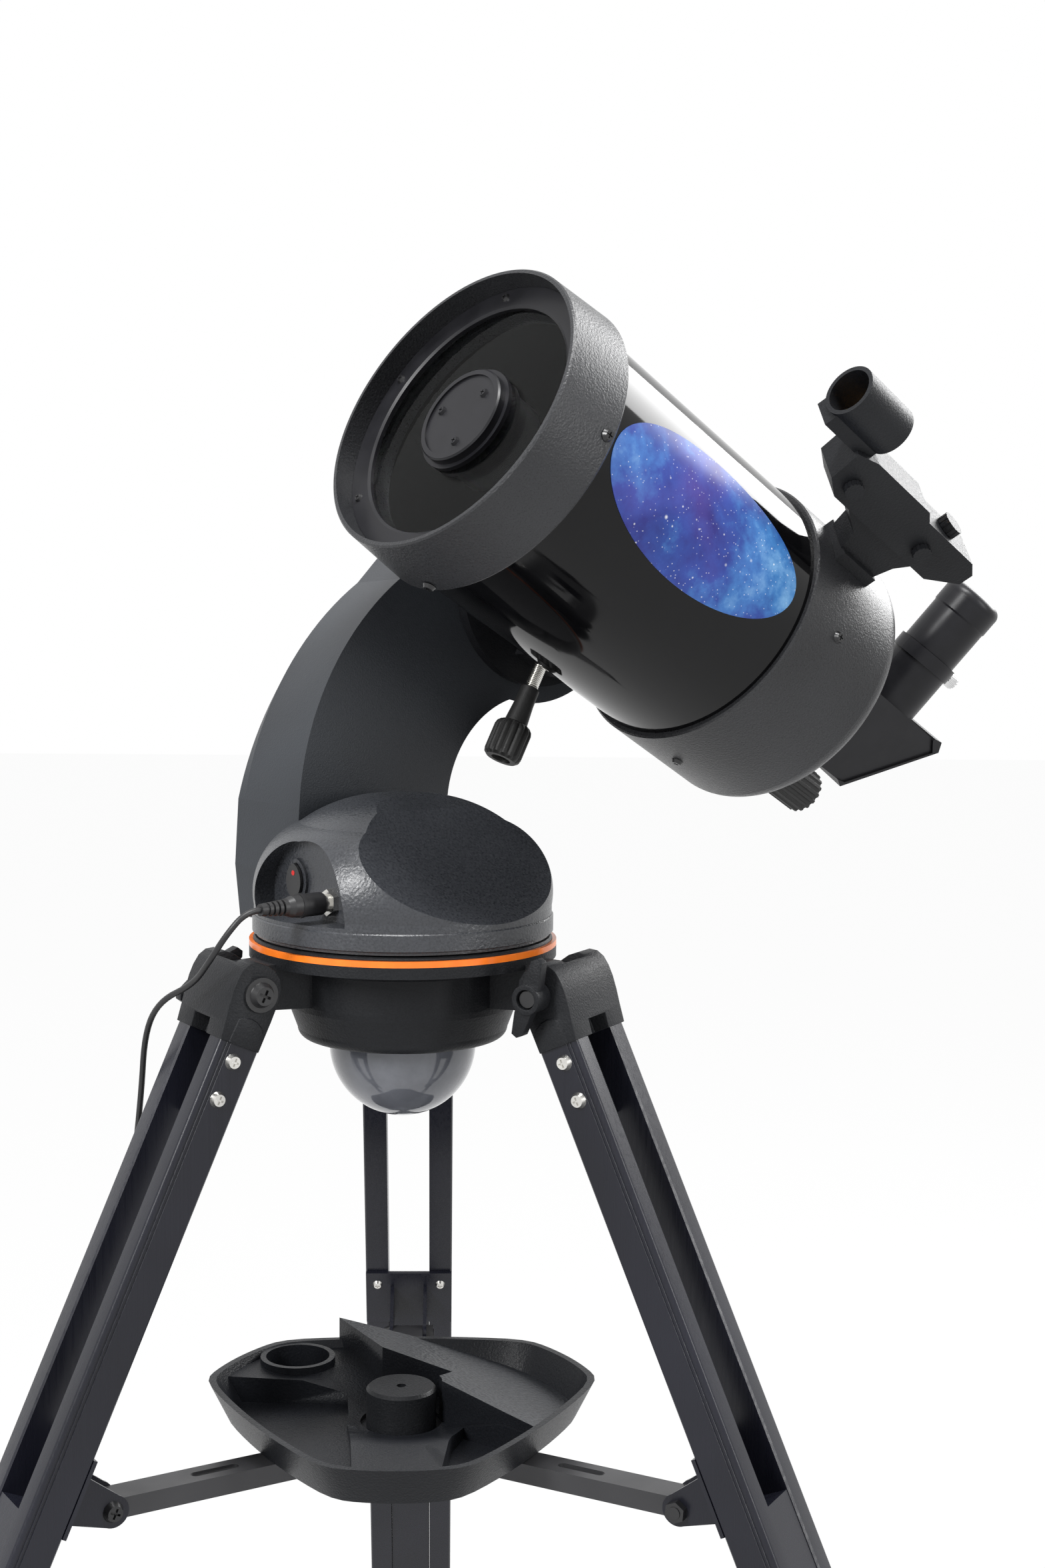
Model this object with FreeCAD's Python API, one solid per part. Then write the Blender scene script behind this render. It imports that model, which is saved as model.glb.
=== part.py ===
# Computerised Schmidt-Cassegrain telescope on a single-arm alt-azimuth mount and a tripod.
# Millimetres, +Z up. The origin is on the floor, under the middle of the whole assembly.
import FreeCAD
import Part
import math
import os

V = FreeCAD.Vector
Placement = FreeCAD.Placement
Rotation = FreeCAD.Rotation

# ---------------------------------------------------------------- driving dimensions
# Where the mount stands
RING_HEIGHT = 660.0          # floor to the top edge of the coloured ring
AZIMUTH_Y = -95.0            # azimuth axis, measured from the origin
AZIMUTH_REST = 219.9         # heading of the mount's front, degrees about +Z
TUBE_ELEVATION = 29.4        # elevation of the optical axis at rest

# Fits
RUNNING_FIT = 0.05           # radial clearance of a shaft in its bore
BOLT_FIT = 0.05              # radial clearance of a bolt or a spigot that does not turn
SEAT_GAP = 0.3               # clearance between pieces that move past each other

# Optical tube, lengths measured along the optical axis from the tube's datum
TUBE_AXIS_Y = 60.0           # optical axis beside the azimuth axis
TUBE_AXIS_Z = 248.1          # optical axis above the ring, over the azimuth axis
TUBE_R = 72.65               # outer radius of the rolled tube
TUBE_WALL = 2.0
CELL_FRONT = 24.9            # front rim of the front cell
CELL_BACK = -12.1            # rear edge of the front cell
CELL_FRONT_R = 76.0
CELL_BACK_R = 78.7
CELL_BORE_R = 73.2           # bore ahead of the retaining ring
RING_FACE = 14.0             # face of the retaining ring
RING_THICK = 2.6
RING_INNER_R = 61.5
CORRECTOR_R = 65.8
CORRECTOR_THICK = 5.0
CLEAR_R = 62.5               # clear radius behind the corrector
TUBE_LAP = 10.0              # length of tube inside each cell
REAR_FRONT = -169.0          # front edge of the rear cell
REAR_R = 75.6
REAR_SHOULDER = -236.0
REAR_BACK = -250.0
REAR_WALL = 6.0
SECONDARY_FRONT = 17.9       # face of the secondary mirror holder
SECONDARY_R = 25.0
SECONDARY_NECK_R = 21.5
SECONDARY_BACK = -14.0
BAFFLE_R = 18.5
BAFFLE_WALL = 1.5
BAFFLE_FRONT = -70.0
PRIMARY_R = 65.0
PRIMARY_THICK = 16.0
PRIMARY_BACK = -226.0
VISUAL_BACK_END = -286.0
VISUAL_BACK_R = 18.6
BARREL_R = 15.875            # 1.25 inch accessory barrel
BARREL_FIT = 0.06

# Focus knob
FOCUS_Y = 10.0
FOCUS_Z = -50.0
FOCUS_R = 12.2
FOCUS_END = -282.0
FOCUS_SHAFT_R = 3.0

# Diagonal and eyepiece
DIAGONAL_TURN = 27.4         # turned from upright towards the side away from the arm
DIAGONAL_AT = -316.5         # where the eyepiece axis meets the optical axis
DIAGONAL_HALF = 18.8
COLLAR_TOP = 62.0            # top of the diagonal's collar above the optical axis
COLLAR_R = 18.5
EYE_TUBE_R = 17.5
EYEPIECE_R = 16.6
EYEPIECE_TOP = 103.0

# Dovetail and saddle
SADDLE_FACE = 33.6           # from the azimuth axis to the saddle face, away from the tube
ARM_FACE = 40.0              # from the azimuth axis to the arm's broad face
ARM_THICK = 54.0
COVER_THICK = 6.0
HUB_R = 57.5
ALT_SIGMA = -142.0           # altitude axis crosses the optical axis here
ALT_SHAFT_R = 14.0
ALT_SHAFT_LENGTH = 42.0
BAR_BASE_HALF = 21.9
BAR_TOP_HALF = 17.5
BAR_HEIGHT = 13.0
BAR_FRONT = -6.0
BAR_BACK = -236.0
JAW_LENGTH = 76.0
CLAMP_SIGMA = -156.0
CLAMP_KNOB_R = 13.6
CLAMP_NECK = 53.0
CLAMP_HEAD = 72.0
CLAMP_END = 109.0

# Arm and base
ARM_TOP_R = 67.0
BASE_R = 75.6
BAND_BOTTOM = 2.4
BAND_TOP = 12.7
DOME_TOP = 72.0
SPINDLE_R = 20.0
SPINDLE_DEPTH = 26.0
PANEL_X = 56.0               # flat of the switch and socket panel
SWITCH_Y = -12.0
SWITCH_Z = 31.5
JACK_Y = 15.0
JACK_Z = 24.0

# Tripod head
RING_R = 77.2
RING_BAND = 2.9
HEAD_FLANGE_R = 75.2
HEAD_R = 58.0
HEAD_BOTTOM = -50.0
KNOB_R = 37.0
KNOB_CENTRE = -54.0

# Legs
LEG_HEADINGS = (90.0, 210.0, 330.0)
HINGE_R = 91.0
HINGE_Z = -17.5
LEG_TILT = 24.5
RAIL_OUT = 25.3
RAIL_IN = 12.1
RAIL_DEEP = 21.0
RAIL_TOP = -26.0
RAIL_LENGTH = 600.0
INNER_TOP = -260.0
INNER_BOTTOM = -690.0
FOOT_TOP = -664.0
BRACE_R = 161.0              # brace pivot from the azimuth axis
BRACE_Z = -262.0
HUB_PIVOT_R = 25.0
ARM_HALF = 8.5
ARM_HIGH = 10.0

# Tray
TRAY_RIM = -237.0
TRAY_BOTTOM = -256.6
TRAY_SIDE = 80.0             # from the centre to the sides that face the legs
TRAY_NOSE = 98.0             # from the centre to the blunt corners between the legs
TRAY_KNOB_TOP = -233.5
TRAY_KNOB_R = 18.0


# ---------------------------------------------------------------- frames
TRIPOD = Placement(V(0, AZIMUTH_Y, RING_HEIGHT), Rotation())
MOUNT = TRIPOD * Placement(V(0, 0, 0), Rotation(V(0, 0, 1), AZIMUTH_REST))
TUBE = MOUNT * Placement(V(0, TUBE_AXIS_Y, TUBE_AXIS_Z), Rotation(V(0, 1, 0), -TUBE_ELEVATION))
DIAGONAL = TUBE * Placement(V(DIAGONAL_AT, 0, 0), Rotation(V(1, 0, 0), -DIAGONAL_TURN))
FINDER_ANGLE = 40.0          # from the side away from the arm, up towards the top
FINDER = TUBE * Placement(V(0, 0, 0), Rotation(V(1, 0, 0), FINDER_ANGLE - 90.0))
ALT_X = ALT_SIGMA * math.cos(math.radians(TUBE_ELEVATION))
ALT_Z = TUBE_AXIS_Z + ALT_SIGMA * math.sin(math.radians(TUBE_ELEVATION))


def radial_frame(heading):
    return TRIPOD * Placement(V(0, 0, 0), Rotation(V(0, 0, 1), heading))


def leg_frame(heading):
    tilt = Rotation(V(0, 1, 0), -LEG_TILT)
    return radial_frame(heading) * Placement(V(HINGE_R, 0, HINGE_Z), tilt)


# ---------------------------------------------------------------- shape helpers
def outline(start, steps, to_3d):
    """Face from a start point and steps: (x, y) is a line, (mx, my, x, y) an arc."""
    here = start
    edges = []
    for step in steps:
        end = step[-2:]
        if len(step) == 2:
            edges.append(Part.makeLine(to_3d(*here), to_3d(*end)))
        else:
            arc = Part.Arc(to_3d(*here), to_3d(*step[:2]), to_3d(*end))
            edges.append(arc.toShape())
        here = end
    if math.dist(here, start) > 1e-6:
        edges.append(Part.makeLine(to_3d(*here), to_3d(*start)))
    return Part.Face(Part.Wire(edges))


def slab_xy(start, steps, z0, z1):
    return outline(start, steps, lambda x, y: V(x, y, z0)).extrude(V(0, 0, z1 - z0))


def slab_xz(start, steps, y0, y1):
    return outline(start, steps, lambda x, z: V(x, y0, z)).extrude(V(0, y1 - y0, 0))


def slab_yz(start, steps, x0, x1):
    return outline(start, steps, lambda y, z: V(x0, y, z)).extrude(V(x1 - x0, 0, 0))


def turned_x(start, steps):
    """Solid of revolution about X from a profile of (x, radius)."""
    return outline(start, steps, lambda x, r: V(x, 0, r)).revolve(V(0, 0, 0), V(1, 0, 0), 360)


def turned_z(start, steps):
    """Solid of revolution about Z from a profile of (radius, z)."""
    return outline(start, steps, lambda r, z: V(r, 0, z)).revolve(V(0, 0, 0), V(0, 0, 1), 360)


def box(x0, x1, y0, y1, z0, z1):
    return Part.makeBox(x1 - x0, y1 - y0, z1 - z0, V(x0, y0, z0))


def rod(radius, start, end):
    axis = end - start
    return Part.makeCylinder(radius, axis.Length, start, axis)


def pipe(outer, inner, start, end):
    axis = (end - start).normalize()
    return rod(outer, start, end).cut(rod(inner, start - axis, end + axis))


def fused(shapes):
    return shapes[0].multiFuse(shapes[1:]).removeSplitter()


def cut_all(shape, tools):
    return shape.cut(tools[0].multiFuse(tools[1:]) if len(tools) > 1 else tools[0])


def fluted(radius, start, end, flutes, groove):
    """Round grip with flutes cut along it."""
    axis = end - start
    body = rod(radius, start, end)
    side = axis.cross(V(0, 0, 1) if abs(axis.z) < 0.9 * axis.Length else V(1, 0, 0)).normalize()
    lift = axis * 0.02
    tools = []
    for i in range(flutes):
        reach = Rotation(axis, 360.0 * i / flutes).multVec(side) * (radius + 0.35 * groove)
        tools.append(rod(groove, start + reach - lift, end + reach + lift))
    return cut_all(body, tools)


def placed(frame, shape):
    moved = shape.copy()
    moved.Placement = frame * moved.Placement
    return moved


def solids_of(shape):
    return shape.Solids if shape.Solids else [shape]


parts = {}


def add(name, frame, *shapes):
    """Keep a node: one solid, or a group of separate like solids."""
    solids = []
    for shape in shapes:
        solids.extend(solids_of(placed(frame, shape)))
    parts.setdefault(name, []).extend(solids)


def ring_points(radius, first_angle, count):
    """Points round the optical axis, angles from +Y towards +Z."""
    points = []
    for i in range(count):
        a = math.radians(first_angle + 360.0 * i / count)
        points.append((radius * math.cos(a), radius * math.sin(a)))
    return points


# ---------------------------------------------------------------- optical tube
def front_cell():
    seat = RING_FACE - RING_THICK
    glass_back = seat - CORRECTOR_THICK
    tube_end = CELL_BACK + TUBE_LAP
    return turned_x((CELL_FRONT, CELL_BORE_R + 0.3), [
        (CELL_FRONT, CELL_FRONT_R - 0.8), (CELL_FRONT - 0.8, CELL_FRONT_R),
        (CELL_BACK + 1.5, CELL_BACK_R), (CELL_BACK, CELL_BACK_R - 1.2),
        (CELL_BACK, TUBE_R + BOLT_FIT), (tube_end, TUBE_R + BOLT_FIT),
        (tube_end, CLEAR_R), (glass_back, CLEAR_R),
        (glass_back, CORRECTOR_R + BOLT_FIT), (seat, CORRECTOR_R + BOLT_FIT),
        (seat, CELL_BORE_R)])


def retaining_ring():
    back = RING_FACE - RING_THICK
    return turned_x((back, RING_INNER_R), [
        (RING_FACE - 0.8, RING_INNER_R), (RING_FACE, RING_INNER_R + 1.4),
        (RING_FACE, CELL_BORE_R - BOLT_FIT), (back, CELL_BORE_R - BOLT_FIT)])


def ring_screw_places():
    return ring_points(68.8, 38.0, 6)


def pan_head(radius, height, place, normal):
    """Low domed screw head with a cross recess, standing on place."""
    head = Part.makeCone(radius, radius * 0.72, height, place, normal)
    side = normal.cross(V(0, 0, 1) if abs(normal.z) < 0.9 else V(1, 0, 0)).normalize()
    other = normal.cross(side).normalize()
    top = place + normal * height
    tools = []
    for along, across in ((side, other), (other, side)):
        corner = top - along * (radius * 0.5) - across * (radius * 0.11) - normal * (height * 0.45)
        wire = Part.makePolygon([corner, corner + along * radius,
                                 corner + along * radius + across * (radius * 0.22),
                                 corner + across * (radius * 0.22), corner])
        tools.append(Part.Face(wire).extrude(normal * height))
    return cut_all(head, tools)


def tube_screws():
    heads = []
    for y, z in ring_screw_places():
        heads.append(pan_head(2.3, 1.3, V(RING_FACE, y, z), V(1, 0, 0)))
    for sigma, radius in ((-6.5, CELL_BACK_R + 0.05), (-196.0, REAR_R)):
        for angle in (0.0, 90.0, 180.0, 270.0):
            a = math.radians(angle)
            out = V(0, math.cos(a), math.sin(a))
            if angle != 180.0:
                heads.append(pan_head(3.2, 1.8, V(sigma, 0, 0) + out * radius, out))
    return heads


def corrector():
    seat = RING_FACE - RING_THICK
    plate = rod(CORRECTOR_R, V(seat - CORRECTOR_THICK, 0, 0), V(seat, 0, 0))
    return plate.cut(rod(SECONDARY_NECK_R + BOLT_FIT, V(0, 0, 0), V(seat + 1, 0, 0)))


def secondary_holder():
    seat = RING_FACE - RING_THICK
    glass_back = seat - CORRECTOR_THICK
    body = turned_x((SECONDARY_FRONT - 1.0, 0), [
        (SECONDARY_FRONT - 1.0, SECONDARY_R - 3.2), (SECONDARY_FRONT, SECONDARY_R - 3.2),
        (SECONDARY_FRONT, SECONDARY_R - 0.8), (SECONDARY_FRONT - 0.8, SECONDARY_R),
        (seat + 2.2, SECONDARY_R), (seat + 2.2, SECONDARY_R + 2.2),
        (seat, SECONDARY_R + 2.2), (seat, SECONDARY_NECK_R),
        (glass_back, SECONDARY_NECK_R), (glass_back, SECONDARY_R + 1.5),
        (glass_back - 3.0, SECONDARY_R + 1.5), (glass_back - 3.0, SECONDARY_R - 1.0),
        (SECONDARY_BACK, SECONDARY_R - 1.0), (SECONDARY_BACK, SECONDARY_R - 5.0),
        (SECONDARY_BACK + 2.0, SECONDARY_R - 6.0), (SECONDARY_BACK + 2.0, 0)])
    screws = []
    for angle in (47.0, 169.0, 288.0):
        a = math.radians(angle)
        place = V(SECONDARY_FRONT - 1.0, 15.4 * math.cos(a), 15.4 * math.sin(a))
        screws.append(pan_head(2.4, 1.4, place, V(1, 0, 0)))
    return fused([body] + screws)


def tube_shell():
    front = CELL_BACK + TUBE_LAP
    back = REAR_FRONT - TUBE_LAP
    return pipe(TUBE_R, TUBE_R - TUBE_WALL, V(back, 0, 0), V(front, 0, 0))


def rear_cell():
    seat = REAR_FRONT - TUBE_LAP
    wall = REAR_BACK + REAR_WALL
    body = turned_x((REAR_FRONT, TUBE_R + BOLT_FIT), [
        (REAR_FRONT, REAR_R - 0.9), (REAR_FRONT - 0.9, REAR_R), (REAR_SHOULDER, REAR_R),
        (REAR_SHOULDER - 7.5, REAR_R - 3.0, REAR_BACK + 1.5, REAR_R - 11.0),
        (REAR_BACK, REAR_R - 14.0), (REAR_BACK, BAFFLE_R + BOLT_FIT),
        (wall, BAFFLE_R + BOLT_FIT), (wall, REAR_R - 14.0),
        (REAR_SHOULDER, REAR_R - 7.0), (seat, REAR_R - 7.0),
        (seat, TUBE_R + BOLT_FIT)])
    shaft = V(0, FOCUS_Y, FOCUS_Z)
    return body.cut(rod(FOCUS_SHAFT_R + RUNNING_FIT, shaft + V(REAR_BACK - 2, 0, 0),
                        shaft + V(wall + 2, 0, 0)))


def baffle_tube():
    wall = REAR_BACK + REAR_WALL
    return turned_x((REAR_BACK, BAFFLE_R - BAFFLE_WALL), [
        (REAR_BACK, BAFFLE_R), (wall, BAFFLE_R), (wall, BAFFLE_R + 5.0),
        (wall + 3.0, BAFFLE_R + 5.0), (wall + 3.0, BAFFLE_R),
        (BAFFLE_FRONT, BAFFLE_R), (BAFFLE_FRONT, BAFFLE_R - BAFFLE_WALL)])


def primary_mirror():
    front = PRIMARY_BACK + PRIMARY_THICK
    bore = BAFFLE_R + RUNNING_FIT
    sag = 2.0
    return turned_x((PRIMARY_BACK, bore), [
        (PRIMARY_BACK, PRIMARY_R - 8.0), (PRIMARY_BACK + 5.0, PRIMARY_R), (front + sag, PRIMARY_R),
        (front + sag, PRIMARY_R - 0.6),
        (front + 0.45 * sag, 0.55 * (PRIMARY_R + bore), front, bore)])


def visual_back():
    bore = BARREL_R + BARREL_FIT
    return turned_x((REAR_BACK, bore), [
        (REAR_BACK, 27.0), (REAR_BACK - 3.0, 27.0), (REAR_BACK - 3.0, 25.4),
        (REAR_BACK - 10.0, 25.4), (REAR_BACK - 12.0, VISUAL_BACK_R),
        (VISUAL_BACK_END + 0.6, VISUAL_BACK_R), (VISUAL_BACK_END, VISUAL_BACK_R - 0.6),
        (VISUAL_BACK_END, bore)])


def focus_knob():
    centre = V(0, FOCUS_Y, FOCUS_Z)
    near = centre + V(REAR_BACK - SEAT_GAP, 0, 0)
    far = centre + V(FOCUS_END, 0, 0)
    grip = fluted(FOCUS_R, near, far, 18, 1.5)
    shaft = rod(FOCUS_SHAFT_R, near, centre + V(REAR_BACK + REAR_WALL, 0, 0))
    return grip.fuse(shaft)


def diagonal_body():
    """Right-angle housing with a cover plate on its slanted back, in the diagonal frame."""
    half = DIAGONAL_HALF
    shell = slab_xz((27.5, -24.0), [(27.5, 27.0), (-28.5, 26.5), (-35.5, 20.0), (3.5, -24.0)],
                    -half + 0.8, half - 0.8)
    cover = slab_xz((-29.5, 27.5), [(-35.2, 28.3), (-38.6, 22.8), (3.0, -26.2), (8.0, -24.0),
                                    (2.6, -23.0), (-35.0, 20.6), (-28.9, 26.0)],
                    -half - 0.6, half + 0.6)
    nose = pipe(BARREL_R, BARREL_R - 2.0, V(27.0, 0, 0), V(57.0, 0, 0))
    neck = rod(EYE_TUBE_R, V(0, 0, 25.0), V(0, 0, COLLAR_TOP - 8.0))
    collar = rod(COLLAR_R, V(0, 0, COLLAR_TOP - 8.0), V(0, 0, COLLAR_TOP))
    bore = rod(BARREL_R + BARREL_FIT, V(0, 0, 28.0), V(0, 0, COLLAR_TOP + 1))
    hole = rod(2.0, V(0, 0, COLLAR_TOP - 4.0), V(-COLLAR_R - 2, 0, COLLAR_TOP - 4.0))
    light = rod(13.0, V(5, 0, 0), V(58, 0, 0))
    return cut_all(fused([shell, cover, nose, neck, collar]), [bore, hole, light])


def eyepiece_screw():
    z = COLLAR_TOP - 4.0
    stem = rod(2.0 - RUNNING_FIT, V(-BARREL_R - 0.8, 0, z), V(-COLLAR_R - 4.0, 0, z))
    grip = fluted(4.3, V(-COLLAR_R - 4.0, 0, z), V(-COLLAR_R - 11.0, 0, z), 16, 0.6)
    return stem.fuse(grip)


def eyepiece():
    lift = COLLAR_TOP + SEAT_GAP
    return turned_z((0, 34.0), [
        (BARREL_R, 34.0), (BARREL_R, lift), (EYEPIECE_R, lift),
        (EYEPIECE_R, EYEPIECE_TOP - 16.0), (EYEPIECE_R + 0.5, EYEPIECE_TOP - 15.0),
        (EYEPIECE_R + 0.5, EYEPIECE_TOP - 6.0),
        (EYEPIECE_R - 1.2, EYEPIECE_TOP - 1.2, EYEPIECE_R - 6.0, EYEPIECE_TOP),
        (9.0, EYEPIECE_TOP), (7.5, EYEPIECE_TOP - 2.2), (0, EYEPIECE_TOP - 2.2)])


# ---------------------------------------------------------------- finder
FINDER_FOOT = -198.0


def finder_bracket():
    """Curved shoe on the rear cell with the upright that carries the finder."""
    shoe = box(FINDER_FOOT - 14, FINDER_FOOT + 14, -13, 13, REAR_R - 4, REAR_R + 5)
    shoe = shoe.cut(rod(REAR_R + 0.02, V(-260, 0, 0), V(-150, 0, 0)))
    post = slab_xz((FINDER_FOOT - 15, 80.0), [
        (FINDER_FOOT + 15, 80.0), (FINDER_FOOT + 18, 90.0), (-164.0, 97.7), (-222.0, 97.7),
        (FINDER_FOOT - 18, 90.0)], -9.0, 9.0)
    return fused([shoe, post])


def finder_body():
    """Long sight housing with its round lens tube over the front end."""
    slab = slab_xz((-232.0, 98.0), [
        (-150.0, 98.0), (-139.0, 104.0), (-137.0, 122.0), (-150.0, 125.5), (-196.0, 125.5),
        (-202.0, 121.5), (-243.0, 121.5), (-250.0, 117.0), (-250.0, 109.0)], -11.5, 11.5)
    tube = rod(13.5, V(-146.0, 0, 138.0), V(-110.0, 0, 138.0))
    saddle = box(-146, -112, -8, 8, 120, 130)
    bore = rod(11.3, V(-148.0, 0, 138.0), V(-108.0, 0, 138.0))
    switch_seat = rod(5.0, V(-222.0, 0, 118.0), V(-222.0, 0, 130.0))
    return cut_all(fused([slab, tube, saddle]), [bore, switch_seat])


def finder_lens():
    disc = rod(11.25, V(-142.0, 0, 0), V(-136.0, 0, 0))
    return disc.common(Part.makeSphere(40.0, V(-178.6, 0, 0)))


def finder_switch():
    return fluted(6.5, V(-222.0, 0, 121.5 + SEAT_GAP), V(-222.0, 0, 127.0), 14, 0.6).fuse(
        rod(5.0 - RUNNING_FIT, V(-222.0, 0, 118.3), V(-222.0, 0, 122.5)))


def finder_adjuster(place, side):
    """Small thumb wheel on the side of the sight housing."""
    x, z = place
    return fluted(5.0, V(x, side * 11.8, z), V(x, side * 15.5, z), 14, 0.5)


# ---------------------------------------------------------------- dovetail, saddle, clamp
def tube_y(mount_y):
    return mount_y - TUBE_AXIS_Y


BAR_BASE_Y = tube_y(-SADDLE_FACE + 2.0)
CLAMP_Y = BAR_BASE_Y + 6.0    # the clamp screw passes clear of the arm


def bar_section(y):
    """Half width of the dovetail bar at a height above its base."""
    share = (y - BAR_BASE_Y) / BAR_HEIGHT
    return BAR_BASE_HALF + (BAR_TOP_HALF - BAR_BASE_HALF) * share


def dovetail_bar():
    top = BAR_BASE_Y + BAR_HEIGHT - 0.2
    bar = slab_yz((BAR_BASE_Y, -BAR_BASE_HALF), [
        (top, -bar_section(top)), (top, bar_section(top)), (BAR_BASE_Y, BAR_BASE_HALF)],
        BAR_BACK, BAR_FRONT)
    pad = box(BAR_BACK + 4, BAR_BACK + 34, BAR_BASE_Y + BAR_HEIGHT - 1, -70, -14, 14)
    nose = box(BAR_FRONT - 6, BAR_FRONT, BAR_BASE_Y + BAR_HEIGHT - 1, -76, -12, 12)
    cell = turned_x((CELL_FRONT, 0), [(CELL_FRONT, CELL_FRONT_R), (CELL_BACK + 1.5, CELL_BACK_R + 0.02),
                                      (CELL_BACK, CELL_BACK_R - 1.18), (CELL_BACK, 0)])
    rear = rod(REAR_R + 0.02, V(-260, 0, 0), V(REAR_FRONT, 0, 0))
    return cut_all(fused([bar, pad, nose]), [cell, rear])


def altitude_hub():
    """Turning disc with its shaft, the saddle plate and the fixed jaw."""
    arm_y = tube_y(-ARM_FACE)
    disc = Part.makeCylinder(HUB_R, ARM_FACE - SADDLE_FACE - SEAT_GAP,
                             V(ALT_SIGMA, arm_y + SEAT_GAP, 0), V(0, 1, 0))
    shaft = Part.makeCylinder(ALT_SHAFT_R, ALT_SHAFT_LENGTH + SEAT_GAP + 1,
                              V(ALT_SIGMA, arm_y - ALT_SHAFT_LENGTH, 0), V(0, 1, 0))
    face = tube_y(-SADDLE_FACE)
    plate = box(ALT_SIGMA - 42, ALT_SIGMA + 42, face - 1, BAR_BASE_Y - 0.02, -36, 36)
    jaw_top = BAR_BASE_Y + 9.0
    jaw = slab_yz((face, BAR_BASE_HALF + 0.8), [
        (face, 36.0), (jaw_top - 2, 36.0), (jaw_top, 34.0), (jaw_top, bar_section(jaw_top) + 0.1),
        (BAR_BASE_Y, BAR_BASE_HALF + 0.1)],
        ALT_SIGMA - JAW_LENGTH / 2, ALT_SIGMA + JAW_LENGTH / 2)
    lug = slab_yz((face, -36.0), [(face, -44.5), (jaw_top + 3, -44.5), (jaw_top + 4, -40.0),
                                  (jaw_top + 3, -36.0)], CLAMP_SIGMA - 13, CLAMP_SIGMA + 13)
    hole = rod(4.0 + RUNNING_FIT, V(CLAMP_SIGMA, CLAMP_Y, -30), V(CLAMP_SIGMA, CLAMP_Y, -50))
    return cut_all(fused([disc, shaft, plate, jaw, lug]), [hole])


def clamp_jaw():
    """Moving jaw that the clamp knob presses on the dovetail bar."""
    jaw_top = BAR_BASE_Y + 9.0
    return slab_yz((BAR_BASE_Y + 0.1, -BAR_BASE_HALF - 0.1), [
        (BAR_BASE_Y + 0.1, -34.0), (jaw_top, -34.0), (jaw_top, -bar_section(jaw_top) - 0.1)],
        CLAMP_SIGMA - 24, CLAMP_SIGMA + 24)


def clamp_knob():
    def at(w):
        return V(CLAMP_SIGMA, CLAMP_Y, -w)
    screw = rod(4.0, at(34.1), at(CLAMP_NECK + 1))
    neck = rod(6.4, at(CLAMP_NECK), at(CLAMP_HEAD + 1))
    head = fluted(CLAMP_KNOB_R, at(CLAMP_HEAD), at(CLAMP_END), 18, 1.5)
    hollow = rod(8.0, at(CLAMP_END - 14), at(CLAMP_END + 1))
    return fused([screw, neck, head]).cut(hollow)


# ---------------------------------------------------------------- arm and base
def arm_outline(top_r, inset, y):
    """Side view of the arm: round head about the altitude axis, swept neck and foot."""
    head = V(ALT_X, 0, ALT_Z)

    def on_head(angle):
        a = math.radians(angle)
        return (head.x + top_r * math.cos(a), head.z + top_r * math.sin(a))
    front = [(-28.8 - inset, 179.2 - 0.3 * inset), (18.9 - 0.55 * inset, 125.0 - 0.3 * inset,
                                                     35.4, 64.1), (37.5, 30.0), (34.5, 2.6)]
    rear = [(-58.0, 2.6), (-61.6, 63.3), (-72.5, 92.0, on_head(-73.7)[0], on_head(-73.7)[1])]
    lower = on_head(-73.7)
    around = on_head(180.0)
    upper = on_head(46.0)
    steps = front[1:] + rear + [(around[0], around[1], upper[0], upper[1])]
    return front[0], steps, lower


def arm_wire(top_r, inset, y):
    start, steps, _ = arm_outline(top_r, inset, y)
    return outline(start, steps, lambda x, z: V(x, y, z)).OuterWire


def arm_solid(y_near, y_far, top_near, top_far, inset_near, inset_far):
    near = arm_wire(top_near, inset_near, y_near)
    far = arm_wire(top_far, inset_far, y_far)
    return Part.makeLoft([near, far], True, True)


ARM_SPLIT = -(ARM_FACE + ARM_THICK - COVER_THICK)
ARM_FAR = -(ARM_FACE + ARM_THICK)


def base_keepout(clearance):
    """Turned space of the base below the arm's foot."""
    return rod(BASE_R + clearance, V(0, 0, -5), V(0, 0, BAND_TOP))


def fork_arm():
    body = arm_solid(-ARM_FACE, ARM_SPLIT, ARM_TOP_R, ARM_TOP_R - 8.0, 0.0, 9.0)
    bore = Part.makeCylinder(ALT_SHAFT_R + RUNNING_FIT, ALT_SHAFT_LENGTH + 1,
                             V(ALT_X, -ARM_FACE + 1, ALT_Z), V(0, -1, 0))
    return cut_all(body, [bore, base_keepout(0.02), fixed_ring_space()])


def fixed_ring_space():
    return rod(RING_R + 1.0, V(0, 0, -5), V(0, 0, BAND_BOTTOM))


def arm_cover():
    body = arm_solid(ARM_SPLIT, ARM_FAR, ARM_TOP_R - 8.0, ARM_TOP_R - 14.0, 9.0, 15.0)
    return body.cut(base_keepout(0.02))


def dome_form():
    """Turned dome, boxy towards the arm and sloped away from it, before its cut-outs."""
    dome = turned_z((0, BAND_TOP), [
        (BASE_R - 0.8, BAND_TOP), (BASE_R - 0.8, 17.0),
        (71.5, 40.0, 52.0, 58.0), (33.0, 68.0, 10.0, DOME_TOP), (0, DOME_TOP)])
    slope = slab_yz((-BASE_R - 1, BAND_TOP), [
        (BASE_R + 1, BAND_TOP), (BASE_R + 1, 14.0), (52.0, 33.0, 20.0, 66.0),
        (4.0, DOME_TOP + 1), (-BASE_R - 1, DOME_TOP + 1)], -BASE_R - 1, BASE_R + 1)
    return dome.common(slope)


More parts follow.
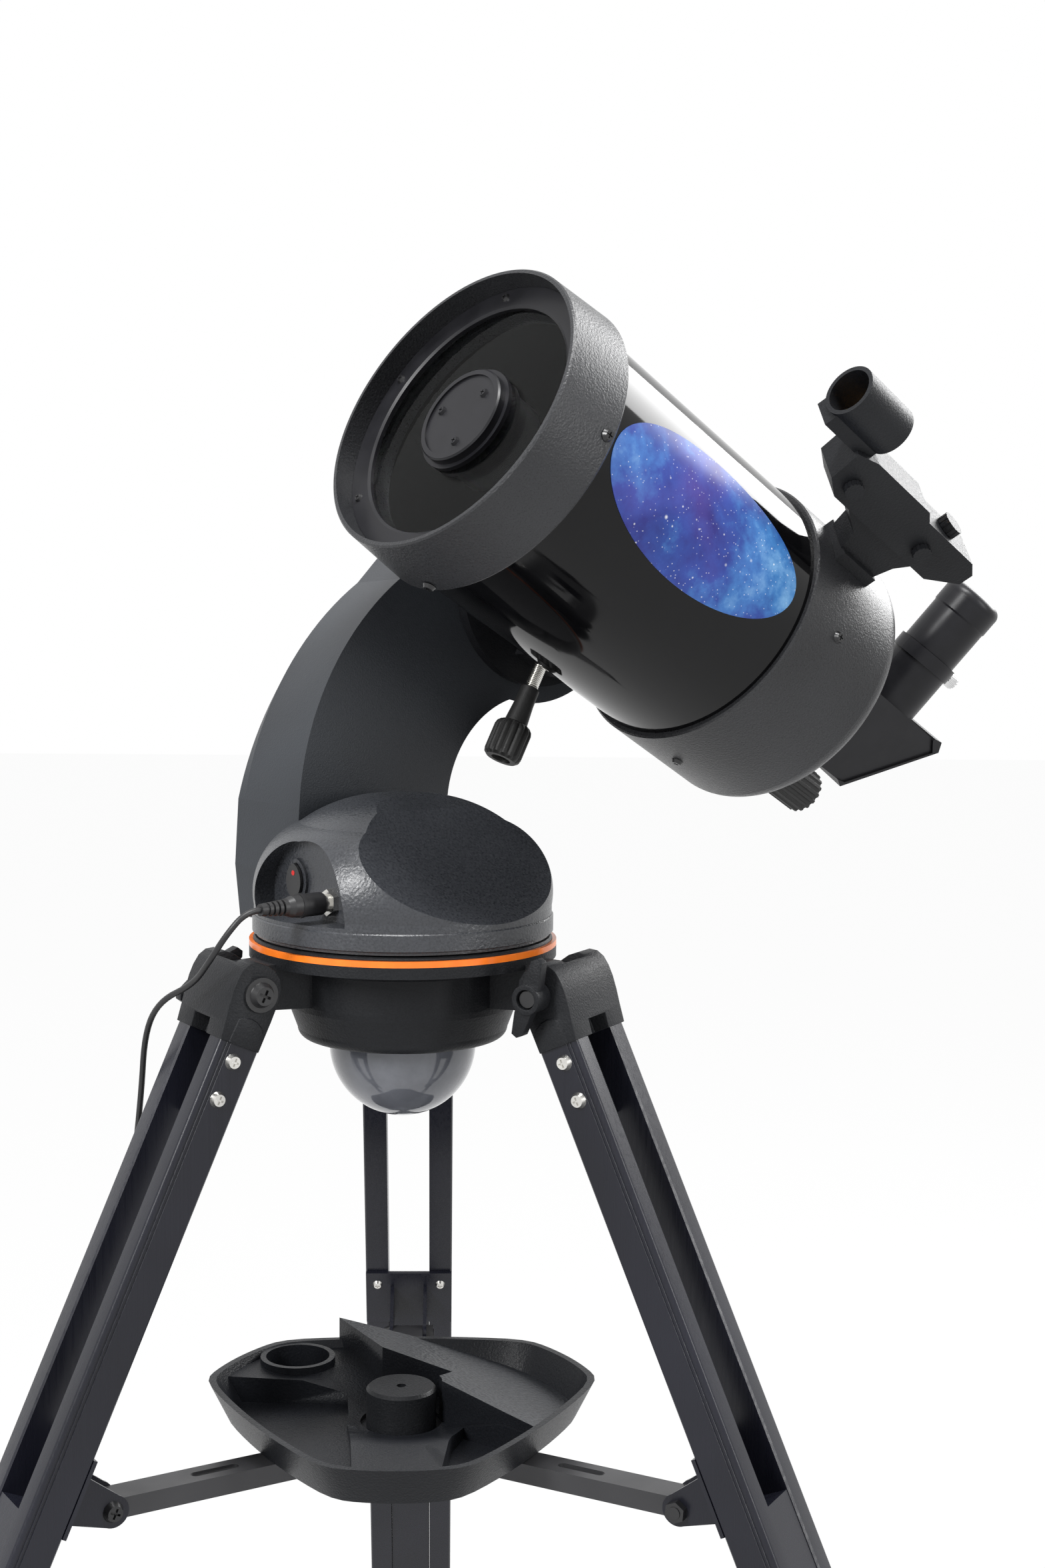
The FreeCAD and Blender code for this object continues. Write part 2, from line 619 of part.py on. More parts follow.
def base_dome():
    recess = slab_yz((-31.0, 14.5), [
        (-24.0, 44.0, -4.0, 52.0), (22.0, 47.0, 37.0, 14.5)], PANEL_X, BASE_R + 5)
    switch = slab_yz((SWITCH_Y, SWITCH_Z - 9.2), [
        (SWITCH_Y + 6.2, SWITCH_Z, SWITCH_Y, SWITCH_Z + 9.2),
        (SWITCH_Y - 6.2, SWITCH_Z, SWITCH_Y, SWITCH_Z - 9.2)], PANEL_X - 8, PANEL_X + 4)
    bezel = slab_yz((SWITCH_Y, SWITCH_Z - 11.2), [
        (SWITCH_Y + 8.2, SWITCH_Z, SWITCH_Y, SWITCH_Z + 11.2),
        (SWITCH_Y - 8.2, SWITCH_Z, SWITCH_Y, SWITCH_Z - 11.2)], PANEL_X - 1, PANEL_X + 1.6)
    socket = rod(4.2, V(PANEL_X - 10, JACK_Y, JACK_Z), V(PANEL_X + 2, JACK_Y, JACK_Z))
    arm = arm_solid(-ARM_FACE, ARM_SPLIT, ARM_TOP_R, ARM_TOP_R - 8.0, 0.0, 9.0)
    room = turned_z((0, BAND_TOP - 1), [(44.0, BAND_TOP - 1), (44.0, 34.0), (20.0, 50.0), (0, 52.0)])
    shell = dome_form().cut(recess).cut(arm).cut(room)
    return shell.fuse(bezel).cut(switch).cut(socket)


def base_band():
    """Turning base ring with its floor and the spindle that enters the tripod head."""
    return turned_z((0, -SPINDLE_DEPTH), [
        (SPINDLE_R, -SPINDLE_DEPTH), (SPINDLE_R, BAND_BOTTOM), (BASE_R - 2.0, BAND_BOTTOM),
        (BASE_R - 2.0, BAND_BOTTOM + 1.2), (BASE_R, BAND_BOTTOM + 2.0), (BASE_R, BAND_TOP - 0.6),
        (BASE_R - 0.6, BAND_TOP), (0, BAND_TOP)])


def rocker_switch():
    return slab_yz((SWITCH_Y, SWITCH_Z - 8.9), [
        (SWITCH_Y + 5.9, SWITCH_Z, SWITCH_Y, SWITCH_Z + 8.9),
        (SWITCH_Y - 5.9, SWITCH_Z, SWITCH_Y, SWITCH_Z - 8.9)], PANEL_X - 2, PANEL_X + 3.4)


def dc_jack():
    barrel = pipe(4.2, 2.9, V(PANEL_X - 10, JACK_Y, JACK_Z), V(PANEL_X + 6, JACK_Y, JACK_Z))
    corners = []
    for i in range(7):
        a = math.radians(60.0 * i + 30.0)
        corners.append(V(PANEL_X, JACK_Y + 6.6 * math.cos(a), JACK_Z + 6.6 * math.sin(a)))
    nut = Part.Face(Part.makePolygon(corners)).extrude(V(3.2, 0, 0))
    bore = rod(4.1, V(PANEL_X - 1, JACK_Y, JACK_Z), V(PANEL_X + 5, JACK_Y, JACK_Z))
    return barrel.fuse(nut.cut(bore))


PLUG_END = PANEL_X + 42.0
CORD_R = 1.5


def power_plug():
    """Straight low-voltage plug with its ribbed strain relief."""
    start = PANEL_X + 6.2
    body = turned_x((start, 0), [
        (start, 5.2), (start + 1.0, 5.6), (start + 12.0, 5.6), (start + 12.0, 6.0),
        (start + 14.0, 6.0), (start + 14.0, 5.6), (start + 18.0, 5.2), (start + 21.0, 4.2),
        (PLUG_END - 12.0, 3.9), (PLUG_END, 2.9), (PLUG_END, 0)])
    grooves = []
    for i in range(4):
        x = PLUG_END - 12.5 + 2.8 * i
        grooves.append(pipe(6.0, 2.6, V(x, 0, 0), V(x + 1.1, 0, 0)))
    pin = rod(2.7, V(PANEL_X - 3, 0, 0), V(start + 1, 0, 0))
    plug = cut_all(body, grooves).fuse(pin)
    plug.translate(V(0, JACK_Y, JACK_Z))
    return plug


# ---------------------------------------------------------------- power cord
# Corners of the cord's route. The first ones are measured from the azimuth axis at the
# ring, the next ones in the frame of the leg that it hangs behind, and the last ones are
# on the floor, again from the azimuth axis.
CORD_STRAIGHT = 11.5         # first straight run out of the strain relief
CORD_FIRST = [(-84.5, -85.0, 14.5), (-93.0, -80.0, 0.5)]
CORD_LEG = [(28.5, 4.0, -9.0), (27.5, -17.0, -20.0), (21.0, -33.5, -37.0), (8.0, -38.0, -66.0),
            (-5.0, -37.0, -108.0), (-13.0, -34.5, -156.0), (-12.0, -33.5, -207.0),
            (-7.0, -33.5, -259.0), (-3.0, -34.0, -314.0), (-1.5, -35.0, -371.0),
            (-1.5, -36.0, -429.0), (-2.0, -37.5, -487.0), (-1.0, -39.0, -545.0),
            (2.0, -41.0, -601.0), (4.0, -44.0, -650.0)]
CORD_FLOOR = [(-326.0, -135.0, 20.0), (-314.0, -124.5, 3.2), (-298.0, -111.5, 1.6),
              (-278.3, -100.2, 1.6)]
COIL_AT = (-268.0, -118.0)
COIL_R = 17.5                # middle of the turns
COIL_HALF = 4.5              # half the bundle's width and height
CORD_TAIL = [(-247.5, -118.0, 7.0), (-246.5, -135.0, 4.5), (-250.0, -152.0, 5.0), (-262.0, -165.0, 8.5)]
CORD_PLUG_LENGTH = 62.0
CORD_PLUG_R = 10.4


def floor_point(x, y, height):
    """Point given from the azimuth axis, at a height above the floor."""
    return V(x, y + AZIMUTH_Y, height)


def cord_corners():
    """Whole route from the power plug to the coil."""
    corners = [MOUNT.multVec(V(PLUG_END, JACK_Y, JACK_Z)),
               MOUNT.multVec(V(PLUG_END + CORD_STRAIGHT, JACK_Y, JACK_Z))]
    for point in CORD_FIRST:
        corners.append(TRIPOD.multVec(V(*point)))
    for point in CORD_LEG:
        corners.append(leg_frame(LEG_HEADINGS[1]).multVec(V(*point)))
    for point in CORD_FLOOR:
        corners.append(floor_point(*point))
    return corners


def cord_tube(corners):
    """Straight runs joined by tangent arcs, each as large as its two runs allow."""
    edges = []
    radii = []
    here = corners[0]
    for before, corner, after in zip(corners, corners[1:], corners[2:]):
        back = before - corner
        ahead = after - corner
        turn = math.pi - back.getAngle(ahead)
        trim = 0.45 * min(back.Length, ahead.Length)
        radius = trim / math.tan(turn / 2)
        back.normalize()
        ahead.normalize()
        start = corner + back * trim
        end = corner + ahead * trim
        middle = (back + ahead).normalize()
        depth = radius / math.cos(turn / 2) - radius
        edges.append(Part.makeLine(here, start))
        edges.append(Part.Arc(start, corner + middle * depth, end).toShape())
        here = end
        radii.append(round(radius, 1))
    edges.append(Part.makeLine(here, corners[-1]))
    path = Part.Wire(edges)
    circle = Part.Wire(Part.makeCircle(CORD_R, corners[0], corners[1] - corners[0]))
    tube = path.makePipeShell([circle], True, True)
    share = tube.Volume / (math.pi * CORD_R ** 2 * path.Length)
    print("cord length", round(path.Length), "radii", radii, "volume share", round(share, 4))
    return tube


def cord_coil():
    """Outer shape of the coiled rest of the cord, lying on the floor."""
    centre = floor_point(*COIL_AT, 0)
    return pipe(COIL_R + COIL_HALF, COIL_R - COIL_HALF, centre, centre + V(0, 0, 2 * COIL_HALF))


def cord_plug():
    """Accessory plug at the far end, lying on the floor."""
    start = floor_point(*CORD_TAIL[-1])
    run = start - floor_point(*CORD_TAIL[-2])
    heading = math.degrees(math.atan2(run.y, run.x))
    body = turned_x((0, 0), [
        (0, 2.6), (12.0, 4.2), (14.0, 7.5), (20.0, CORD_PLUG_R), (38.0, CORD_PLUG_R),
        (39.0, CORD_PLUG_R - 1.2), (54.0, CORD_PLUG_R - 1.6), (56.0, 6.0), (56.0, 3.2),
        (CORD_PLUG_LENGTH, 2.8), (CORD_PLUG_LENGTH, 0)])
    lean = math.degrees(math.asin((CORD_PLUG_R + 0.05 - start.z) / 29.0))
    body.rotate(V(0, 0, 0), V(0, 1, 0), -lean)
    body.rotate(V(0, 0, 0), V(0, 0, 1), heading)
    body.translate(start)
    return body


# ---------------------------------------------------------------- tripod head
def hinge_lug():
    """Lug on the head that a leg bracket straddles, in the radial frame."""
    return slab_xz((HEAD_R - 12.0, HINGE_Z - 12.5), [
        (HINGE_R, HINGE_Z - 10.5), (HINGE_R + 10.5, HINGE_Z, HINGE_R, HINGE_Z + 10.5),
        (HEAD_R - 12.0, HINGE_Z + 12.5)], -RAIL_IN + SEAT_GAP, RAIL_IN - SEAT_GAP)


def tripod_head():
    body = turned_z((0, HEAD_BOTTOM), [
        (46.0, HEAD_BOTTOM), (51.5, HEAD_BOTTOM + 1.5, 53.0, HEAD_BOTTOM + 5.0),
        (57.5, -33.0), (HEAD_R, -30.0), (HEAD_R, -13.0), (66.0, -9.5), (RING_R, -8.5),
        (RING_R, -RING_BAND), (HEAD_FLANGE_R, -RING_BAND), (HEAD_FLANGE_R, 0.6),
        (HEAD_FLANGE_R - 1.0, 1.6), (SPINDLE_R + RUNNING_FIT, 1.6),
        (SPINDLE_R + RUNNING_FIT, -SPINDLE_DEPTH - SEAT_GAP), (5.0 + RUNNING_FIT, -SPINDLE_DEPTH - SEAT_GAP),
        (5.0 + RUNNING_FIT, HEAD_BOTTOM)])
    lugs = []
    for heading in LEG_HEADINGS:
        lug = hinge_lug()
        lug.rotate(V(0, 0, 0), V(0, 0, 1), heading)
        lugs.append(lug)
    body = fused([body] + lugs)
    holes = []
    for heading in LEG_HEADINGS:
        hole = rod(4.0 + BOLT_FIT, V(HINGE_R, -30, HINGE_Z), V(HINGE_R, 30, HINGE_Z))
        hole.rotate(V(0, 0, 0), V(0, 0, 1), heading)
        holes.append(hole)
    bore = rod(SPINDLE_R + RUNNING_FIT, V(0, 0, -SPINDLE_DEPTH - SEAT_GAP), V(0, 0, 5))
    return cut_all(body, holes + [bore])


def orange_ring():
    return pipe(RING_R, HEAD_FLANGE_R, V(0, 0, -RING_BAND), V(0, 0, 0))


def mounting_knob():
    ball = Part.makeSphere(KNOB_R, V(0, 0, KNOB_CENTRE))
    keep = rod(KNOB_R + 1, V(0, 0, KNOB_CENTRE - KNOB_R - 1), V(0, 0, HEAD_BOTTOM - SEAT_GAP))
    stud = rod(5.0, V(0, 0, KNOB_CENTRE), V(0, 0, -SPINDLE_DEPTH - 2.0))
    return ball.common(keep).fuse(stud)


# ---------------------------------------------------------------- legs, in the leg frame
RAIL_BOTTOM = RAIL_TOP - RAIL_LENGTH
RAIL_HALF = RAIL_DEEP / 2


def leg_bracket():
    """Moulded shoulder that straddles the head's lug and plugs in between the rails."""
    shoulder = slab_xz((-13.0, RAIL_TOP), [
        (-13.5, 2.0), (-8.5, 12.0, 3.0, 12.5), (12.0, 11.0), (20.0, 3.0),
        (19.0, RAIL_TOP)], -RAIL_OUT - 0.9, RAIL_OUT + 0.9)
    slot = slab_xz((-40, -14.0), [(8.0, -14.0), (12.5, -8.0), (12.5, 30.0), (-40, 30.0)], -RAIL_IN, RAIL_IN)
    tongue = box(-9.5, 9.5, -RAIL_IN, RAIL_IN, -66.0, RAIL_TOP + 1)
    hole = rod(4.0 + BOLT_FIT, V(0, -40, 0), V(0, 40, 0))
    return cut_all(fused([shoulder, tongue]), [slot, hole])


def rail(side):
    inner = RAIL_IN * side
    outer = RAIL_OUT * side
    return slab_xy((-RAIL_HALF, inner), [
        (-RAIL_HALF, outer), (RAIL_HALF, outer), (RAIL_HALF, inner)], RAIL_BOTTOM, RAIL_TOP)


def hinge_bolt():
    y = RAIL_OUT + 0.9
    shaft = rod(4.0, V(0, -y - 11.0, 0), V(0, y + 0.5, 0))
    washer = rod(8.4, V(0, y, 0), V(0, y + 1.4, 0))
    head = pan_head(6.2, 3.6, V(0, y + 1.4, 0), V(0, 1, 0))
    return fused([shaft, washer, head])


def wing_knob():
    y = -RAIL_OUT - 0.9 - SEAT_GAP
    hub = rod(9.0, V(0, y, 0), V(0, y - 12.0, 0))
    wing = slab_xz((-17.0, -4.5), [(17.0, -4.5), (20.0, 0, 17.0, 4.5), (-17.0, 4.5), (-20.0, 0, -17.0, -4.5)],
                   y - 12.0, y - 3.0)
    bore = rod(4.0 + RUNNING_FIT, V(0, y + 1, 0), V(0, y - 14, 0))
    recess = rod(6.0, V(0, y - 10.0, 0), V(0, y - 14, 0))
    return cut_all(fused([hub, wing]), [bore, recess])


def rail_screws():
    heads = []
    for z in (-34.0, -53.0):
        for side in (-1, 1):
            heads.append(pan_head(4.0, 2.4, V(0, side * RAIL_OUT, z), V(0, side, 0)))
    for side in (-1, 1):
        heads.append(pan_head(2.8, 1.6, V(-RAIL_HALF - 2.0, side * 18.5, -236.0), V(-1, 0, 0)))
    return heads


def leg_end_clamp():
    """Block on the rails' lower ends that guides and locks the inner leg."""
    outer = box(-RAIL_HALF - 4, RAIL_HALF + 6, -RAIL_OUT - 3, RAIL_OUT + 3, RAIL_BOTTOM - 4, RAIL_BOTTOM + 34)
    rails = box(-RAIL_HALF - 0.02, RAIL_HALF + 0.02, -RAIL_OUT - 0.02, RAIL_OUT + 0.02,
                RAIL_BOTTOM, RAIL_BOTTOM + 40)
    way = box(-INNER_HALF - 0.25, INNER_HALF + 0.25, -INNER_WIDE - 0.2, INNER_WIDE + 0.2,
              RAIL_BOTTOM - 10, RAIL_BOTTOM + 40)
    hole = rod(4.0 + RUNNING_FIT, V(INNER_HALF, 0, LOCK_Z), V(40, 0, LOCK_Z))
    return cut_all(outer, [rails, way, hole])


INNER_HALF = 9.5
INNER_WIDE = 11.7
LOCK_Z = RAIL_BOTTOM + 14.0


def inner_leg():
    tube = box(-INNER_HALF, INNER_HALF, -INNER_WIDE, INNER_WIDE, INNER_BOTTOM, INNER_TOP)
    room = box(-INNER_HALF + 1.8, INNER_HALF - 1.8, -INNER_WIDE + 1.8, INNER_WIDE - 1.8,
               INNER_BOTTOM - 1, INNER_TOP - 3)
    return tube.cut(room)


def floor_depth():
    """Distance from the hinge down to the floor."""
    return RING_HEIGHT + HINGE_Z


def leg_foot():
    """Rubber boot, flat on the floor."""
    boot = box(-INNER_HALF - 3.5, INNER_HALF + 3.5, -INNER_WIDE - 3.5, INNER_WIDE + 3.5,
               -760.0, FOOT_TOP)
    spigot = box(-INNER_HALF - 0.02, INNER_HALF + 0.02, -INNER_WIDE - 0.02, INNER_WIDE + 0.02,
                 INNER_BOTTOM, FOOT_TOP + 5)
    boot = boot.cut(spigot)
    floor = box(0, 800, -200, 200, -floor_depth() - 200, -floor_depth())
    floor.rotate(V(0, 0, 0), V(0, 1, 0), LEG_TILT)
    return boot.cut(floor)


def leg_lock():
    face = RAIL_HALF + 6
    grip = fluted(9.0, V(face + 1.5, 0, LOCK_Z), V(face + 13.0, 0, LOCK_Z), 10, 1.6)
    stem = rod(4.0, V(INNER_HALF + 0.5, 0, LOCK_Z), V(face + 2.0, 0, LOCK_Z))
    return stem.fuse(grip)


# ---------------------------------------------------------------- brace, in the leg and radial frames
def in_leg(radius, z):
    """Leg-frame X and Z of a point given by its radius and height under the ring."""
    t = math.radians(LEG_TILT)
    dx = radius - HINGE_R
    dz = z - HINGE_Z
    return dx * math.cos(t) + dz * math.sin(t), -dx * math.sin(t) + dz * math.cos(t)


PIVOT_X, PIVOT_Z = in_leg(BRACE_R, BRACE_Z)
CHEEK_IN = ARM_HALF + 0.2
CHEEK_OUT = CHEEK_IN + 2.0
PLATE_X = -RAIL_HALF - 2.0


def brace_bracket():
    plate = box(PLATE_X, -RAIL_HALF, -RAIL_OUT, RAIL_OUT, PIVOT_Z - 14, PIVOT_Z + 24)
    cheeks = []
    for side in (-1, 1):
        start = side * CHEEK_IN
        end = side * CHEEK_OUT
        cheeks.append(slab_xz((PLATE_X + 1, PIVOT_Z - 12), [
            (PLATE_X + 1, PIVOT_Z + 14), (PIVOT_X, PIVOT_Z + 8),
            (PIVOT_X - 8, PIVOT_Z, PIVOT_X, PIVOT_Z - 8)], min(start, end), max(start, end)))
    hole = rod(3.0 + BOLT_FIT, V(PIVOT_X, -20, PIVOT_Z), V(PIVOT_X, 20, PIVOT_Z))
    return fused([plate] + cheeks).cut(hole)


def brace_bolt():
    shaft = rod(3.0, V(PIVOT_X, -CHEEK_OUT - 4.5, PIVOT_Z), V(PIVOT_X, CHEEK_OUT + 1, PIVOT_Z))
    head = pan_head(5.2, 3.2, V(PIVOT_X, CHEEK_OUT, PIVOT_Z), V(0, 1, 0))
    corners = []
    for i in range(7):
        a = math.radians(60.0 * i)
        corners.append(V(PIVOT_X + 5.4 * math.cos(a), -CHEEK_OUT, PIVOT_Z + 5.4 * math.sin(a)))
    nut = Part.Face(Part.makePolygon(corners)).extrude(V(0, -4.0, 0))
    return fused([shaft, head, nut])


def brace_arm():
    """Pressed channel from the hub to the leg, in the radial frame."""
    low = BRACE_Z - ARM_HIGH / 2
    high = BRACE_Z + ARM_HIGH / 2
    half = ARM_HIGH / 2
    side = slab_xz((HUB_PIVOT_R, low), [
        (BRACE_R, low), (BRACE_R + half, BRACE_Z, BRACE_R, high),
        (HUB_PIVOT_R, high), (HUB_PIVOT_R - half, BRACE_Z, HUB_PIVOT_R, low)], -ARM_HALF, ARM_HALF)
    hollow = box(HUB_PIVOT_R - 20, BRACE_R + 20, -ARM_HALF + 1.5, ARM_HALF - 1.5, low - 1, high - 1.5)
    slot = slab_xy((94.0, -2.6), [(114.0, -2.6), (116.6, 0, 114.0, 2.6), (94.0, 2.6), (91.4, 0, 94.0, -2.6)],
                   high - 3, high + 1)
    inner = rod(2.4 + BOLT_FIT, V(HUB_PIVOT_R, -20, BRACE_Z), V(HUB_PIVOT_R, 20, BRACE_Z))
    outer = rod(3.0 + BOLT_FIT, V(BRACE_R, -20, BRACE_Z), V(BRACE_R, 20, BRACE_Z))
    return cut_all(side, [hollow, slot, inner, outer])


def brace_hub():
    high = BRACE_Z + ARM_HIGH / 2
    core = rod(15.0, V(0, 0, BRACE_Z - 9), V(0, 0, high))
    pieces = [core]
    for heading in LEG_HEADINGS:
        tongue = box(8, HUB_PIVOT_R + 4, -ARM_HALF + 1.7, ARM_HALF - 1.7, BRACE_Z - 4.5, high - 1.7)
        pin = rod(2.4, V(HUB_PIVOT_R, -ARM_HALF - 1, BRACE_Z), V(HUB_PIVOT_R, ARM_HALF + 1, BRACE_Z))
        for piece in (tongue, pin):
            piece.rotate(V(0, 0, 0), V(0, 0, 1), heading)
            pieces.append(piece)
    return fused(pieces).cut(rod(4.0 + RUNNING_FIT, V(0, 0, BRACE_Z - 20), V(0, 0, high + 5)))


# ---------------------------------------------------------------- tray, in the tripod frame
def tray_corners(side, nose):
    """Six corners of the blunt three-cornered plan."""
    corners = []
    for i in range(3):
        heading = 30.0 + 120.0 * i
        for turn in (-60.0, 60.0):
            a = math.radians(heading)
            b = math.radians(heading + turn)
            # where the nose line and the side line cross
            det = math.cos(a) * math.sin(b) - math.sin(a) * math.cos(b)
            x = (nose * math.sin(b) - side * math.sin(a)) / det
            y = (side * math.cos(a) - nose * math.cos(b)) / det
            corners.append((x, y))
    return corners


def tray_wire(side, nose, z):
    corners = tray_corners(side, nose)
    edges = []
    for i, corner in enumerate(corners):
        after = corners[(i + 1) % 6]
        mid = ((corner[0] + after[0]) / 2, (corner[1] + after[1]) / 2)
        swell = 1.0 + (3.0 / math.hypot(*mid))
        bulge = (mid[0] * swell, mid[1] * swell)
        edges.append(Part.Arc(V(*corner, z), V(*bulge, z), V(*after, z)).toShape())
    return Part.Wire(edges)


def tray():
    body = Part.makeLoft([tray_wire(TRAY_SIDE - 9, TRAY_NOSE - 9, TRAY_BOTTOM),
                          tray_wire(TRAY_SIDE, TRAY_NOSE, TRAY_RIM)], True, True)
    floor = TRAY_BOTTOM + 2.4
    inner = Part.makeLoft([tray_wire(TRAY_SIDE - 12, TRAY_NOSE - 12, floor),
                           tray_wire(TRAY_SIDE - 3, TRAY_NOSE - 3, TRAY_RIM + 1)], True, True)
    centre = turned_z((0, TRAY_BOTTOM), [(30.0, TRAY_BOTTOM), (24.0, -246.0), (0, -246.0)])
    shell = body.cut(inner).fuse(centre)
    well = rod(21.0, V(0, 0, -254.2), V(0, 0, -200))
    stud = rod(4.0 + RUNNING_FIT, V(0, 0, -300), V(0, 0, -200))
    cup = pipe(20.0, 17.0, V(-53, 51, TRAY_BOTTOM + 1), V(-53, 51, TRAY_RIM - 0.5))
    return cut_all(shell.fuse(cup), [well, stud])


def tray_knob():
    grip = turned_z((0, -253.9), [
        (TRAY_KNOB_R, -253.9), (TRAY_KNOB_R, TRAY_KNOB_TOP - 1.5),
        (TRAY_KNOB_R - 1.5, TRAY_KNOB_TOP), (2.5, TRAY_KNOB_TOP), (2.5, TRAY_KNOB_TOP - 4), (0, TRAY_KNOB_TOP - 4)])
    return grip.fuse(rod(4.0, V(0, 0, BRACE_Z - 8), V(0, 0, -253)))


# ---------------------------------------------------------------- assembly
def build_tube():
    add("front_cell", TUBE, front_cell())
    add("retaining_ring", TUBE, retaining_ring())
    add("tube_screws", TUBE, *tube_screws())
    add("corrector_plate", TUBE, corrector())
    add("secondary_holder", TUBE, secondary_holder())
    add("tube_shell", TUBE, tube_shell())
    add("rear_cell", TUBE, rear_cell())
    add("baffle_tube", TUBE, baffle_tube())
    add("primary_mirror", TUBE, primary_mirror())
    add("visual_back", TUBE, visual_back())
    add("focus_knob", TUBE, focus_knob())
    add("diagonal_body", DIAGONAL, diagonal_body())
    add("eyepiece_screw", DIAGONAL, eyepiece_screw())
    add("eyepiece", DIAGONAL, eyepiece())
    add("dovetail_bar", TUBE, dovetail_bar())
    add("altitude_hub", TUBE, altitude_hub())
    add("clamp_jaw", TUBE, clamp_jaw())
    add("clamp_knob", TUBE, clamp_knob())


def build_finder():
    add("finder_bracket", FINDER, finder_bracket())
    add("finder_body", FINDER, finder_body())
    lens = finder_lens()
    lens.translate(V(0, 0, 138.0))
    add("finder_lens", FINDER, lens)
    add("finder_switch", FINDER, finder_switch())
    add("finder_adjuster_1", FINDER, finder_adjuster((-152.0, 108.0), 1))
    add("finder_adjuster_2", FINDER, finder_adjuster((-214.0, 108.0), 1))


def build_mount():
    add("fork_arm", MOUNT, fork_arm())
    add("arm_side_cover", MOUNT, arm_cover())
    add("base_dome", MOUNT, base_dome())
    add("base_band", MOUNT, base_band())
    add("rocker_switch", MOUNT, rocker_switch())
    add("dc_jack", MOUNT, dc_jack())
    add("power_plug", MOUNT, power_plug())


def build_tripod():
    add("tripod_head", TRIPOD, tripod_head())
    add("orange_ring", TRIPOD, orange_ring())
    add("mounting_knob", TRIPOD, mounting_knob())
    for number, heading in enumerate(LEG_HEADINGS, 1):
        leg = leg_frame(heading)
        radial = radial_frame(heading)
        add("leg_brackets", leg, leg_bracket())
        add("leg_rails", leg, rail(-1), rail(1))
        add("rail_screws", leg, *rail_screws())
        add("pivot_bolts", leg, hinge_bolt(), brace_bolt())
        add("leg_end_clamps", leg, leg_end_clamp())
        add("brace_brackets", leg, brace_bracket())
        add("brace_arms", radial, brace_arm())
        add(f"wing_knob_{number}", leg, wing_knob())
        add(f"inner_leg_{number}", leg, inner_leg())
        add(f"leg_foot_{number}", leg, leg_foot())
        add(f"leg_lock_{number}", leg, leg_lock())
    add("brace_hub", TRIPOD, brace_hub())
    add("tray", TRIPOD, tray())
    add("tray_knob", TRIPOD, tray_knob())


def build_cord():
    add("cord", Placement(), cord_tube(cord_corners()),
        cord_tube([floor_point(*point) for point in CORD_TAIL]))
    add("cord_coil", Placement(), cord_coil())
    add("cord_plug", Placement(), cord_plug())


def write_parts():
    os.makedirs("parts", exist_ok=True)
    for name, solids in parts.items():
        shape = solids[0] if len(solids) == 1 else Part.makeCompound(solids)
        shape.exportStep(f"parts/{name}.step")


build_tube()
build_finder()
build_mount()
build_tripod()
build_cord()
write_parts()
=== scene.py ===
import bmesh
import bpy
import math
from mathutils import Matrix, Vector


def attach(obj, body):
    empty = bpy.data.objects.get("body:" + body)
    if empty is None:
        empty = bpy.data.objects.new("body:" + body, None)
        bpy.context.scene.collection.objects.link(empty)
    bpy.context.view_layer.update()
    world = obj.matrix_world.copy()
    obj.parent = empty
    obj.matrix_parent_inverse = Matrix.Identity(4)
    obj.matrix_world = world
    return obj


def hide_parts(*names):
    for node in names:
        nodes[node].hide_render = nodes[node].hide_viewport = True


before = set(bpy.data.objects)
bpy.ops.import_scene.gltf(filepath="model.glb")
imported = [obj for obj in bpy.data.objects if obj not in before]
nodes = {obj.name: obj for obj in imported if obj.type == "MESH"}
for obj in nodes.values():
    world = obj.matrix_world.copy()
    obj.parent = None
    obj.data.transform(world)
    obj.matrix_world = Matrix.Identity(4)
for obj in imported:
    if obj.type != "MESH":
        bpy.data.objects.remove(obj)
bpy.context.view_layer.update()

MM = 0.001


def linked(name, data):
    """New object in the scene that shows a mesh, curve, light or camera."""
    thing = bpy.data.objects.new(name, data)
    bpy.context.scene.collection.objects.link(thing)
    return thing


# ---------------------------------------------------------------- camera
CAMERA_AT = Vector((26.7, -1226.6, 844.5)) * MM       # metres
CAMERA_PITCH = math.radians(5.41)      # looking down
CAMERA_YAW = math.radians(1.66)        # turned towards +X
CAMERA_ROLL = math.radians(0.52)
FOCAL_PIXELS = 3400.0
PHOTO_HEIGHT = 2352.0
SENSOR = 36.0
CLIP = (0.01, 50.0)                    # metres


def make_camera():
    """Camera at the photograph's viewing angle."""
    data = bpy.data.cameras.new("photo_camera")
    data.sensor_width = SENSOR
    data.lens = SENSOR * FOCAL_PIXELS / PHOTO_HEIGHT
    data.clip_start, data.clip_end = CLIP
    camera = linked("photo_camera", data)
    forward = Vector((math.sin(CAMERA_YAW) * math.cos(CAMERA_PITCH),
                      math.cos(CAMERA_YAW) * math.cos(CAMERA_PITCH),
                      -math.sin(CAMERA_PITCH)))
    right = forward.cross(Vector((0, 0, 1))).normalized()
    up = right.cross(forward).normalized()
    rolled_right = math.cos(CAMERA_ROLL) * right + math.sin(CAMERA_ROLL) * up
    rolled_up = -math.sin(CAMERA_ROLL) * right + math.cos(CAMERA_ROLL) * up
    turn = Matrix((rolled_right, rolled_up, -forward)).transposed()
    camera.matrix_world = Matrix.Translation(CAMERA_AT) @ turn.to_4x4()
    bpy.context.scene.camera = camera


make_camera()

# ---------------------------------------------------------------- material kit, in metres


